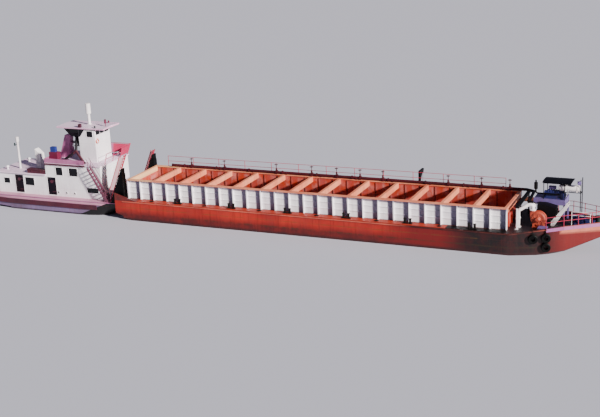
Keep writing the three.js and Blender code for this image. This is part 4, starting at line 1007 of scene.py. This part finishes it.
# %% Swinging suction pipe
ARM_Y = 4.02
LUG_X = 8.9
SWIVEL = [(0, 0), (0.34, 0), (0.34, 0.08), (0.29, 0.1), (0.29, 0.46), (0.33, 0.48), (0.33, 0.54),
          (0.2, 0.56), (0, 0.56)]
KNUCKLE = [(0, -0.14), (0.25, -0.14), (0.26, -0.12), (0.26, 0.12), (0.25, 0.14), (0, 0.14)]
arm_pipe = bmesh.new()
turned(arm_pipe, (EYE_X, 3.7206, EYE_Z), PORT, SWIVEL, 40)
bolts(arm_pipe, (EYE_X, 4.26, EYE_Z), PORT, 0.28, 12, 0.02)
bar(arm_pipe, (EYE_X, ARM_Y, EYE_Z), (7.45, ARM_Y, EYE_Z), 0.2, 32)
for x in (16.0, 11.5):
    flange(arm_pipe, (x, ARM_Y, EYE_Z), FORE, 0.29, 0.12, 12)
# Columns: middle, half length, radius and sides of a wear band
for x, half, radius, sides in (
        (18.2, 0.15, 0.215, 32), (13.8, 0.15, 0.215, 32), (10.2, 0.15, 0.215, 32), (LUG_X, 0.12, 0.25, 28)):
    bar(arm_pipe, (x - half, ARM_Y, EYE_Z), (x + half, ARM_Y, EYE_Z), radius, sides)
plate(arm_pipe, about(LUG_X, 0.12), about(ARM_Y, 0.035), (2.8, 2.95))
ring(arm_pipe, (LUG_X, ARM_Y, 3.0), PORT, 0.09, 0.035, 24, 8)
turned(arm_pipe, (7.1, ARM_Y, EYE_Z), PORT, KNUCKLE, 28)
plate(arm_pipe, (7.2, 7.6), about(ARM_Y, 0.14), about(EYE_Z, 0.14))
keep("suction_arm", arm_pipe, "pipe_rust", body="suction_pipe", stands_for=["suction_pipe"])

# %% [markdown]
# The hoist wire goes from the davit's sheave down to the lug on the pipe. It is held
# at both ends, so it is no free cord. A small hand winch on the davit's post takes up
# the wire.

# %% Hoist wire
SHEAVE, LUG = (LUG_X, ARM_Y, 4.4), (LUG_X, ARM_Y, 3.05)
WIRE_STEPS = 14
WINCH_SPOOL = [(0, 0), (0.16, 0), (0.16, 0.02), (0.09, 0.03), (0.09, 0.24), (0.16, 0.25), (0.16, 0.27),
               (0, 0.27)]
wire = bmesh.new()
pipe_run(wire, [between(SHEAVE, LUG, i / WIRE_STEPS) for i in range(WIRE_STEPS + 1)], 0.014, 0.01, 8)
hoist = keep("hoist_wire", wire, "soot_black", body=None)
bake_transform(hoist)
tackle = bmesh.new()
ring(tackle, (LUG_X, ARM_Y, 4.55), FORE, 0.15, 0.022, 28, 8)
turned(tackle, (LUG_X, 3.35, 3.3), STARBOARD, WINCH_SPOOL, 24)
bar(tackle, (LUG_X, 3.02, 3.3), (LUG_X, 3.12, 3.3), 0.03, 10)
bar(tackle, (LUG_X, 3.22, 3.39), (LUG_X, ARM_Y, 4.71), 0.012, 6)
keep("davit_tackle", tackle, "soot_black")

# %% [markdown]
# ## The engine platform
# The diesel stands in the open under a sheet-metal roof, so its parts show: rocker
# covers over each cylinder, a fat air cleaner on top, injector pipes, a finned
# radiator and a fan belt. Most of it is flat plates and turned shapes in rows.

# %% Engine dressing
CYLINDERS = [20.85 + 0.21 * i for i in range(6)]
FINS = [4.04 + 0.052 * i for i in range(9)]
CLEANER = [(0, 0), (0.12, 0), (0.16, 0.03), (0.16, 0.22), (0.145, 0.24), (0.16, 0.26), (0.16, 0.56),
           (0.12, 0.6), (0, 0.6)]
motor = bmesh.new()
for x in CYLINDERS:
    plate(motor, (x + 0.01, x + 0.16), (0.43, 0.77), (4.6, 4.65))
    bar(motor, (x + 0.08, 0.39, 4.3), (x + 0.08, 0.39, 4.56), 0.012, 6)
for z in FINS:
    plate(motor, (22.28, 22.3), (0.18, 1.02), rise(z, 0.018))
ring(motor, (22.0, 0.6, 4.25), FORE, 0.17, 0.03, 24, 6)
keep("engine_dressing", motor, "engine_blue", bevel=0.008)

cleaner = bmesh.new()
turned(cleaner, (20.95, 0.62, 4.84), FORE, CLEANER, 28)
bar(cleaner, (21.2, 0.62, 4.6), (21.2, 0.62, 4.75), 0.05, 12)
side_pipe = [(21.0, 1.0, 4.35), (21.0, 1.12, 4.35), (22.1, 1.12, 4.35), (22.1, 1.0, 4.5)]
pipe_run(cleaner, side_pipe, 0.03, 0.05, 12)
keep("air_cleaner", cleaner, "platform_grey")

# %% [markdown]
# The fuel tank lies along the craft before the engine. Its ends are domed, so that they
# don't bulge, two straps hold it on its bearers, a filler stands on top, and a thin
# pipe leads down to the engine. One dome's outline serves for both ends.

# %% Fuel tank
TANK_AFT, TANK_Y, TANK_Z = 21.8, 0.42, 4.92
TANK_LENGTH, TANK_RADIUS = 1.75, 0.26
# Columns: share of the radius, distance from the tank's end
DOME = [(0, 0), (0.6, 0.012), (0.88, 0.045), (1, 0.11)]
tank = bmesh.new()
aft_end = [(TANK_RADIUS * share, d) for share, d in DOME]
fore_end = [(r, TANK_LENGTH - d) for r, d in reversed(aft_end)]
turned(tank, (TANK_AFT, TANK_Y, TANK_Z), FORE, aft_end + fore_end, 40)
for x in (22.4, 23.3):
    bar(tank, (x - 0.03, TANK_Y, TANK_Z), (x + 0.03, TANK_Y, TANK_Z), TANK_RADIUS + 0.01, 40)
    plate(tank, about(x, 0.05), about(TANK_Y, 0.25), (4.651, 4.89))
# Columns: foot and radius of the filler's neck and of its cap
for z, radius in ((5.1, 0.05), (5.22, 0.07)):
    bar(tank, (22.4, TANK_Y, z), (22.4, TANK_Y, 5.26), radius, 16)
feed = [(22.6, 0.2, 4.8), (22.6, 0.12, 4.6), (22.45, 0.12, 4.2), (22.3, 0.2, 4.1)]
pipe_run(tank, feed, 0.014, 0.03, 8)
keep("tank", tank, "pipe_white", stands_for=["fuel_tank"])

# %% [markdown]
# The roof over the engine is corrugated sheet, bolted to the tube frame. A fine grid
# is pushed up and down by a sine wave along the craft and by a slight crown across
# it, and then given the sheet's thickness.

# %% Corrugated roof
ROOF = {"x": (20.5, 22.9), "y": (-0.1, 1.75), "z": 5.4, "crown": 0.09, "wave": 0.012, "pitch": 0.12}
sheet = bmesh.new()
middle = [(ROOF[k][0] + ROOF[k][1]) / 2 for k in "xy"]
reach = [(ROOF[k][1] - ROOF[k][0]) / 2 for k in "xy"]
lifted = Matrix.Translation(at(*middle, ROOF["z"]))
stretched = Matrix.Diagonal((reach[0] * METRE, reach[1] * METRE, 1, 1))
bmesh.ops.create_grid(sheet, x_segments=160, y_segments=10, size=1, matrix=lifted @ stretched)
for v in sheet.verts:
    x, y = v.co.x / METRE, v.co.y / METRE
    arch = 1 - ((y - middle[1]) / reach[1]) ** 2
    v.co.z += (ROOF["crown"] * arch + ROOF["wave"] * math.sin(math.tau * x / ROOF["pitch"])) * METRE
bmesh.ops.solidify(sheet, geom=sheet.faces[:], thickness=0.006)
keep("corrugated_roof", sheet, "canopy_black", stands_for=["canopy"])

# %% [markdown]
# For work after dark a floodlight on a short arm shines down on the bow deck. Its shell
# is turned about the direction that it looks in.

# %% Floodlight
LAMP_SHELL = [(0, -0.1), (0.1, -0.1), (0.17, 0.02), (0.17, 0.12), (0.14, 0.13), (0, 0.13)]
lamp_arm = bmesh.new()
bar(lamp_arm, (23.62, 0.2, 5.45), (23.3, 0.2, 5.6), 0.03, 8)
turned(lamp_arm, (23.5, 0.1, 5.52), (0.5, -0.8, -0.3), LAMP_SHELL, 24)
keep("floodlight", lamp_arm, "platform_grey")

# %% [markdown]
# ## Sloped panels
# The bay behind the tower leans outwards, and the bow's rim follows the hull, so some
# panels slope. A slab is a cube stretched along two edges of the panel, and its
# thickness goes along their normal.

# %% Slabs
def slab(bm, corner, along, across, thick):
    """A panel with two edges that start at one corner, in real metres."""
    corner, along, across = Vector(corner), Vector(along), Vector(across)
    normal = along.cross(across).normalized() * thick
    edges = Matrix((along, across, normal)).transposed().to_4x4()
    middle = Matrix.Translation((corner + (along + across) / 2) * METRE)
    bmesh.ops.create_cube(bm, size=1, matrix=middle @ Matrix.Scale(METRE, 4) @ edges)


print("slabs are ready")

# %% [markdown]
# The bay's panes lean with its walls. On each side of the tower a quarter light stands
# upright between the bay and the front. It is a plate whose lower fore corner is drawn
# aft, which leaves a slanted edge.

# %% Bay panes
bay_panes = bmesh.new()
slab(bay_panes, (-25.64, -0.81, 7.49), (0, 1.62, 0), (-0.34, 0, 0.437), 0.012)
for side in SIDES:
    slab(bay_panes, (-25.46, side * 0.966, 7.49), (1.12, 0, 0), (0, side * 0.097, 0.437), 0.012)
    for v in plate(bay_panes, (-24.18, -23.45), off(side, 1.301, 1.318), (7.25, 8.03)):
        if v.co.x > at(-23.8, 0, 0).x and v.co.z < at(0, 0, 7.6).z:
            v.co.x -= 0.6 * METRE
keep("bay_panes", bay_panes, "door_dark", finish="window_glass")

# %% [markdown]
# Under the bay hangs a black air trunk with three bands that stiffen its sheet. It is
# one tall box with three flat ones round it.

# %% Air trunk
trunk = bmesh.new()
plate(trunk, (-25.1, -24.35), about(0, 0.3), (6.0, 7.155))
for low in (6.25, 6.6, 6.95):
    plate(trunk, (-25.12, -24.33), about(0, 0.32), rise(low, 0.05))
keep("air_trunk", trunk, "soot_black", bevel=0.012)

# %% [markdown]
# A lilac band is painted round the bow under the rim. It is built as thin slabs on the
# bulwark, so that its lower edge stays sharp, and a plate closes it at the stem.

# %% Rim bands
RIM = [(21.4, 2.685, 2.22), (22.8, 2.215, 2.4), (25.9, 0.465, 2.52)]
RIM_HEIGHT = 0.28
rim_bands = bmesh.new()
for side in SIDES:
    lower = [Vector((x, side * y, z - RIM_HEIGHT)) for x, y, z in RIM]
    for start, end in zip(lower, lower[1:]):
        slab(rim_bands, start, end - start, UP * RIM_HEIGHT, 0.03)
plate(rim_bands, (25.895, 25.925), about(0, 0.46), (2.22, 2.52))
keep("rim_bands", rim_bands, "platform_grey", finish="rim_lilac")

# %% [markdown]
# ## On the pusher's roofs
# A low maroon casing lies along the house roof's starboard edge, with a lid and two
# clasps, and a small box of the same colour stands on the wheelhouse roof. Both are
# sheet-metal boxes, so plates with eased edges do for them.

# %% Roof casing
low_casing = bmesh.new()
plate(low_casing, (-29.9, -27.85), (-2.5, -1.9), (HOUSE_ROOF, 3.9))
plate(low_casing, (-29.94, -27.81), (-2.54, -1.86), (3.88, 3.95))
for x in (-29.4, -28.4):
    plate(low_casing, rise(x, 0.1), (-2.56, -2.5), (3.7, 3.9))
plate(low_casing, (-24.14, -23.86), (-1.36, -1.1), (8.16, 8.5))
keep("roof_casing", low_casing, "rail_maroon", bevel=0.012)

# %% [markdown]
# Three strips finish the edges of the roofs: a maroon strip along the block's starboard
# side under its roof edge and a dark strip over the wheelhouse windows, both painted
# shade for the shadow under the roof edges, and a pink fascia round the wheelhouse roof.
# Each lies just off the wall behind it, so that their faces don't fight.

# %% Painted eave shade and fascia
# The maroon strip and the dark strip are painted shade under the roof edges.
block_eave_shade, window_eave_shade, fascia = bmesh.new(), bmesh.new(), bmesh.new()
plate(block_eave_shade, (-27.68, -22.95), (-2.615, -2.601), (4.56, 4.72))
for side in SIDES:
    plate(window_eave_shade, (-23.45, -22.36), off(side, 1.301, 1.32), (7.92, 8.03))
    plate(fascia, (-26.62, -21.23), off(side, 1.4, 1.425), (8.04, 8.17))
plate(window_eave_shade, (-22.349, -22.33), about(0, 1.3), (7.93, 8.03))
for x in (-26.62, -21.25):
    plate(fascia, rise(x, 0.02), about(0, 1.4), (8.04, 8.17))
keep("roof_eave_shade", block_eave_shade, "rail_maroon")
keep("tower_eave_shade", window_eave_shade, "door_dark")
keep("roof_fascia", fascia, "roof_grey", finish="fascia_pink")

# %% [markdown]
# Navigation lamps have a base, a drum of glass and a lid. Red is to port and green to
# starboard on the wheelhouse. All the lamps share one outline, which is scaled to each
# lamp's radius and height, and a table gives each its place.

# %% Lamps
# Columns: share of the radius, share of the height
LANTERN = [(0, 0), (1, 0), (1, 0.2), (0.85, 0.25), (0.85, 0.75), (1, 0.8), (0, 1)]
# Columns: the lamp's foot, radius, height, finish, and where its bracket starts and ends
LAMPS = [
    ((-21.6, -0.4, 8.5), 0.12, 0.42, "locker_red", ((-21.6, -0.4, 8.16), (-21.6, -0.4, 8.51), 0.035)),
    ((-31.8, -1.55, 6.0), 0.09, 0.3, "drum_green", ((-31.8, -1.2, 6.05), (-31.8, -1.55, 6.05), 0.03)),
    ((-22.3, -1.22, 8.18), 0.09, 0.22, "drum_green", None),
    ((-22.3, 1.22, 8.18), 0.09, 0.22, "locker_red", None),
    ((25.82, 0.0, 4.9), 0.07, 0.2, "pipe_white", None)]


def scaled(outline, radius, height):
    """An outline written in shares, at its real radius and height."""
    return [(r * radius, d * height) for r, d in outline]


for i, (foot, radius, height, coat, bracket) in enumerate(LAMPS):
    lamp = bmesh.new()
    turned(lamp, foot, UP, scaled(LANTERN, radius, height), 20)
    if bracket:
        bar(lamp, *bracket, 8)
    keep(f"lamp_{i + 1}", lamp, "pipe_white", finish=coat)

# %% [markdown]
# The lifebuoy hangs on the tower's front, where the crew can grab it: an orange ring
# on a bracket. Four white bands wrap it, each a short bar a little thicker than the
# ring.

# %% Lifebuoy
BUOY, BUOY_RADIUS = Vector((-22.27, -1.02, 6.85)), 0.2
buoy, buoy_bands = bmesh.new(), bmesh.new()
ring(buoy, BUOY, FORE, BUOY_RADIUS, 0.055, 40, 12)
for i in range(4):
    aim = Matrix.Rotation(math.tau * (i + 0.5) / 4, 3, FORE) @ UP
    wrapped, tangent = BUOY + aim * BUOY_RADIUS, FORE.cross(aim)
    bar(buoy_bands, wrapped - tangent * 0.04, wrapped + tangent * 0.04, 0.062, 14)
plate(buoy_bands, (-22.345, -22.3), (-1.06, -0.98), (6.5, 6.6))
keep("lifebuoy", buoy, "pipe_white", finish="buoy_orange")
keep("lifebuoy_bands", buoy_bands, "pipe_white")

# %% [markdown]
# Mushroom vents let air into the spaces below, and their caps keep the spray out. All
# are one turned outline: a foot of fixed thickness, then a neck and a cap that scale
# with the vent.

# %% Mushroom vents
VENT_FOOT = [(0, 0), (1, 0), (1, 0.03), (0.6, 0.04)]
VENT_CAP = [(0.6, 0.6), (1.3, 0.6), (1.3, 0.72), (0.9, 0.94), (0, 1)]
# Columns: x, y, z of the roof or deck, radius, height
VENTS = [
    (-28.6, 1.5, HOUSE_ROOF, 0.14, 0.45), (-32.6, 1.4, HOUSE_ROOF, 0.14, 0.45),
    (-32.9, -1.7, HOUSE_ROOF, 0.12, 0.4), (-26.0, 1.6, BLOCK_ROOF, 0.12, 0.4),
    (-22.0, 1.9, BLOCK_ROOF, 0.12, 0.4), (-34.2, 0.0, PUSHER_DECK, 0.14, 0.5),
    (19.6, 0.9, BARGE_DECK, 0.12, 0.5), (23.4, 0.9, BARGE_DECK, 0.11, 0.45)]
vents = bmesh.new()
for x, y, z, radius, height in VENTS:
    outline = scaled(VENT_FOOT, radius, 1) + scaled(VENT_CAP, radius, height)
    turned(vents, (x, y, z), UP, outline, 24)
keep("mushroom_vents", vents, "house_white")

# %% [markdown]
# A deck hatch is a low coaming with a lid that laps over it and two hinges at its
# starboard edge. The lid is one plate a little larger than the box.

# %% Deck hatches
# Columns: x, y, z of the roof or deck, half length, half width
HATCHES = [
    (-34.9, 1.2, PUSHER_DECK, 0.4, 0.4), (-34.9, -1.2, PUSHER_DECK, 0.4, 0.4),
    (-20.4, 1.1, PUSHER_DECK, 0.35, 0.4), (-29.0, 0.5, HOUSE_ROOF, 0.5, 0.45),
    (21.0, -2.0, BARGE_DECK, 0.35, 0.35)]
hatches = bmesh.new()
for x, y, z, half_x, half_y in HATCHES:
    edge = y - half_y
    plate(hatches, about(x, half_x), about(y, half_y), rise(z, 0.22))
    plate(hatches, about(x, half_x + 0.03), about(y, half_y + 0.03), (z + 0.2, z + 0.27))
    for hinge_x in about(x, half_x * 0.6):
        plate(hatches, about(hinge_x, 0.03), (edge - 0.07, edge - 0.02), (z + 0.18, z + 0.28))
keep("deck_hatches", hatches, "platform_grey", bevel=0.01)

# %% [markdown]
# ## Lashings and deck gear
# Double bitts stand at the pusher's corners, two posts on one base plate, and a
# capstan between the fore ones hauls in the ropes. All of it is steel that the crew
# handles daily, so it is worn black. Each post is turned with a lip, so that a rope
# doesn't ride off it.

# %% Bitts and capstan
BITT = [(0, 0), (0.11, 0), (0.11, 0.5), (0.14, 0.52), (0.14, 0.58), (0, 0.6)]
BITT_PAIR = (-0.22, 0.22)
CAPSTAN = [(0, 0), (0.34, 0), (0.34, 0.08), (0.2, 0.2), (0.16, 0.45), (0.24, 0.62), (0.24, 0.7), (0, 0.7)]
gear = bmesh.new()
for side in SIDES:
    for x, y in ((-20.6, 2.2), (-34.7, 2.3)):
        plate(gear, about(x, 0.4), about(side * y, 0.16), (PUSHER_DECK, 1.45))
        for dx in BITT_PAIR:
            turned(gear, (x + dx, side * y, 1.42), UP, BITT, 20)
turned(gear, (-20.5, 0, PUSHER_DECK), UP, CAPSTAN, 32)
keep("pusher_bitts", gear, "deck_black")

# %% [markdown]
# Two wires on each side draw the pusher's knees against the barge. Each runs taut from
# the pusher's bitts to an eye plate on the barge's transom, through a turnbuckle, and
# two turns of wire lie round each post. Taut wires are straight bars.

# %% Lashing wires
lashings = bmesh.new()
for side in SIDES:
    for y in (1.7, 2.35):
        start, end = (-20.38, side * 2.2, 1.72), (-18.34, side * y, 1.98)
        bar(lashings, start, end, 0.02, 8)
        bar(lashings, between(start, end, 0.42), between(start, end, 0.6), 0.05, 10)
        plate(lashings, (-18.39, -18.27), about(side * y, 0.03), (BARGE_DECK, 2.05))
    for z in (1.68, 1.73):
        for dx in BITT_PAIR:
            ring(lashings, (-20.6 + dx, side * 2.2, z), UP, 0.13, 0.02, 20, 6)
keep("lashing_wires", lashings, "soot_black")

# %% [markdown]
# The pusher has a strake along its deck edge too. It follows the hull's plan in six
# points, from the stern to the knees, and the same helper builds it as the barge's.

# %% Pusher's strake
SHEER = [(x, y, 1.36) for x, y in (
    (-35.8, 2.61), (-34.6, 3.11), (-31.9, 3.31), (-22.7, 3.31), (-21.0, 3.26), (-19.5, 3.14))]
deck_edge = bmesh.new()
edge_bars(deck_edge, SHEER, 0.045)
keep("pusher_strake", deck_edge, "rail_maroon", finish="roof_rose")

# %% [markdown]
# ## Bow gear
# Old tyres hang on chains over the starboard bow as fenders. A tyre is a turned ring
# with flat sidewalls, and each link of the chain is a small ring, every second one
# turned by a quarter. The hull's side turns in towards the stem there, and two slopes
# give its place and the height of its rim.

# %% Tyres and chains
LINK = 0.045
OUTWARD = Vector((0.32, -0.947, 0))
TURN_IN = 18.6
TYRE = [(0.17, -0.08), (0.2, -0.12), (0.34, -0.13), (0.39, -0.09), (0.39, 0.09), (0.34, 0.13), (0.2, 0.12),
        (0.17, 0.08), (0.17, -0.08)]


def chain(bm, start, end):
    """A taut chain of round links from start to end."""
    way = (end - start).normalized()
    flat = way.orthogonal().normalized()
    count = max(2, round((end - start).length / (LINK * 1.5)))
    for i in range(count):
        axis = flat if i % 2 else way.cross(flat)
        ring(bm, between(start, end, (i + 0.5) / count), axis, LINK, LINK * 0.3, 12, 5)


tyres, chains = bmesh.new(), bmesh.new()
# Columns: x, z of the tyre's middle
for x, z in ((20.4, 1.42), (21.4, 1.5), (21.4, 0.7)):
    hull_y = 0.338 * (x - TURN_IN) - 3.62
    rim_z = 0.126 * (x - TURN_IN) + 1.89
    centre = Vector((x, hull_y, z)) + OUTWARD * 0.15
    turned(tyres, centre, OUTWARD, TYRE, 36)
    chain(chains, centre + UP * 0.2, Vector((x, hull_y - 0.06, rim_z)))
keep("tyre_fenders", tyres, "knee_black")
keep("fender_chains", chains, "soot_black")

# %% [markdown]
# The bow winch's drum is wound with nine turns of wire between two cheeks. Its gear
# wheel stands outside the frame, with a ring of bolt heads on its face, and a brake
# lever leans beside it. Every turn of wire is a ring of its own.

# %% Winch
WINCH_X, WINCH_Z = 23.75, 2.6
WIRE_TURNS = 9
CHEEK = [(0.24, 0), (0.36, 0), (0.36, 0.03), (0.24, 0.03)]
GEAR_WHEEL = [(0, 0), (0.08, 0), (0.08, 0.02), (0.3, 0.02), (0.3, 0.07), (0, 0.07)]
winch = bmesh.new()
for i in range(WIRE_TURNS):
    ring(winch, (WINCH_X, -0.42 + 0.036 * i, WINCH_Z), PORT, 0.258, 0.018, 28, 6)
for y in (-0.5, -0.09):
    turned(winch, (WINCH_X, y, WINCH_Z), PORT, CHEEK, 32)
turned(winch, (WINCH_X, -0.6, WINCH_Z), PORT, GEAR_WHEEL, 32)
bolts(winch, (WINCH_X, -0.57, WINCH_Z), STARBOARD, 0.3, 20, 0.02)
bar(winch, (24.2, -0.62, 2.5), (24.35, -0.62, 3.1), 0.02, 8)
keep("winch_gear", winch, "engine_blue")

# %% [markdown]
# A steel drum of grease stands by the winch. Two swaged hoops stiffen it, and its ends
# have a rolled rim: all of that is in one turned outline.

# %% Grease drum
BARREL = [(0, 0), (0.28, 0), (0.29, 0.02), (0.28, 0.04), (0.28, 0.3), (0.295, 0.32), (0.28, 0.34),
          (0.28, 0.58), (0.295, 0.6), (0.28, 0.62), (0.28, 0.86), (0.29, 0.88), (0, 0.88)]
barrel = bmesh.new()
turned(barrel, (25.1, 0.25, BARGE_DECK), UP, BARREL, 32)
keep("grease_drum", barrel, "engine_blue", finish="drum_green")

# %% [markdown]
# A guard rail keeps people clear of the winch. The stair up to the engine platform gets
# a rough plate on each tread, and a slanted cheek on each side.

# %% Guard rails and treads
TREADS = 7
guards = bmesh.new()
for z in (2.95, 3.25):
    bar(guards, (23.1, -0.7, z), (24.6, -0.7, z), 0.028, 8)
for x in (23.1, 24.6):
    bar(guards, (x, -0.7, BARGE_DECK), (x, -0.7, 3.25), 0.03, 8)
for i in range(TREADS):
    share = (i + 1) / (TREADS + 1)
    x, z = 21.4 + 1.4 * share, 1.87 + 1.93 * share
    plate(guards, about(x, 0.13), (-0.565, -0.075), (z + 0.021, z + 0.035))
for y in (-0.64, -0.005):
    slab(guards, (21.42, y, 2.0), (1.36, 0, 1.72), UP * 0.27, 0.03)
keep("guard_rails", guards, "pipe_white")

# %% [markdown]
# ## In the hold and on the side decks
# Flat bars stiffen the coaming's inside, one in the middle of each bay. Flush manholes
# with bolted lids lead to the void tanks under the side decks, one at every fourth
# upright. Both follow the spacing of the uprights.

# %% Flats and manholes
FIRST_UPRIGHT, BAY, BAYS = -18.2, 1.4, 26
MANHOLE = [(0, 0), (0.22, 0), (0.22, 0.02), (0.2, 0.03), (0, 0.03)]
flats, manholes = bmesh.new(), bmesh.new()
for side in SIDES:
    for bay in range(BAYS):
        x = FIRST_UPRIGHT + BAY * (bay + 0.5)
        plate(flats, about(x, 0.03), off(side, 2.455, 2.499), (1.95, 3.6))
    for bay in range(2, BAYS - 1, 4):
        x = FIRST_UPRIGHT + BAY * bay
        turned(manholes, (x, side * 3.2, 1.902), UP, MANHOLE, 28)
        bolts(manholes, (x, side * 3.2, 1.93), UP, 0.17, 8, 0.014)
keep("coaming_flats", flats, "coaming_white", finish="hull_red")
keep("manholes", manholes, "deck_black")

# %% [markdown]
# ## On the knees
# Rubber heads cap the knees above their steel faces. Each is a block whose upper aft
# edge is drawn forward, which gives it a slope.

# %% Knee heads
heads = bmesh.new()
for side in SIDES:
    for v in plate(heads, (-18.74, -18.42), off(side, 2.62, 3.18), (4.302, 4.84)):
        if v.co.z > at(0, 0, 4.6).z and v.co.x < at(-18.6, 0, 0).x:
            v.co.x += 0.2 * METRE
keep("knee_heads", heads, "knee_black", bevel=0.03)

# %% [markdown]
# Behind each ladder a thin sheet keeps the crew's feet off the knee. A second sheet
# stands at the ladder's outer side, pink in the photograph, with a red tube along its
# free edge. All three follow the ladder's slope, so they are slabs and bars laid along
# its climb.

# %% Ladder sheets
BACK_FOOT, SCREEN_FOOT, SCREEN_WIDTH = 1.62, 2.72, 0.42


def climb(low, top):
    """The way up along the ladders from the height low to top."""
    return Vector(((top - low) / LADDER["slope"], 0, top - low))


backs, screens, screen_edges = bmesh.new(), bmesh.new(), bmesh.new()
# Columns: side, top of the back, top of the screen
for side, back_top, screen_top in ((-1, 6.1, 6.0), (1, 5.2, 5.1)):
    corner = (ladder_x(BACK_FOOT) + 0.07, side * 2.9 - 0.16, BACK_FOOT)
    slab(backs, corner, (0, 0.32, 0), climb(BACK_FOOT, back_top), 0.012)
    corner = Vector((ladder_x(SCREEN_FOOT), side * 3.16, SCREEN_FOOT))
    outward, way = FORE * -SCREEN_WIDTH, climb(SCREEN_FOOT, screen_top)
    slab(screens, corner, outward, way, 0.02)
    bar(screen_edges, corner + outward, corner + outward + way, 0.045, 8)
keep("ladder_backs", backs, "rail_red")
keep("ladder_screens", screens, "house_white", finish="screen_pink")
keep("ladder_screen_edges", screen_edges, "rail_red")

# %% [markdown]
# ## The gallows
# Forward of the hold a black beam on two posts, the gallows, carries hoses across the
# deck. The starboard post is white and has a base plate, so it is a piece of its own.

# %% Gallows
gallows, gallows_post = bmesh.new(), bmesh.new()
slab(gallows, (18.8, -2.35, 3.78), (0.3, 0, 0), (0, 4.5, 0.1), 0.16)
bar(gallows, (18.97, 2.05, 1.901), (18.97, 2.05, 3.8), 0.07, 10)
bar(gallows_post, (18.92, -2.25, BARGE_DECK), (18.92, -2.25, 3.7), 0.07, 12)
plate(gallows_post, (18.8, 19.04), (-2.37, -2.13), (BARGE_DECK, 1.91))
keep("hose_gallows", gallows, "soot_black", bevel=0.01)
keep("gallows_post", gallows_post, "pipe_white")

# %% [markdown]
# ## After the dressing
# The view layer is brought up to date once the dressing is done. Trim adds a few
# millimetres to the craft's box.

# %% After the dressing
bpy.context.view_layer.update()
import json
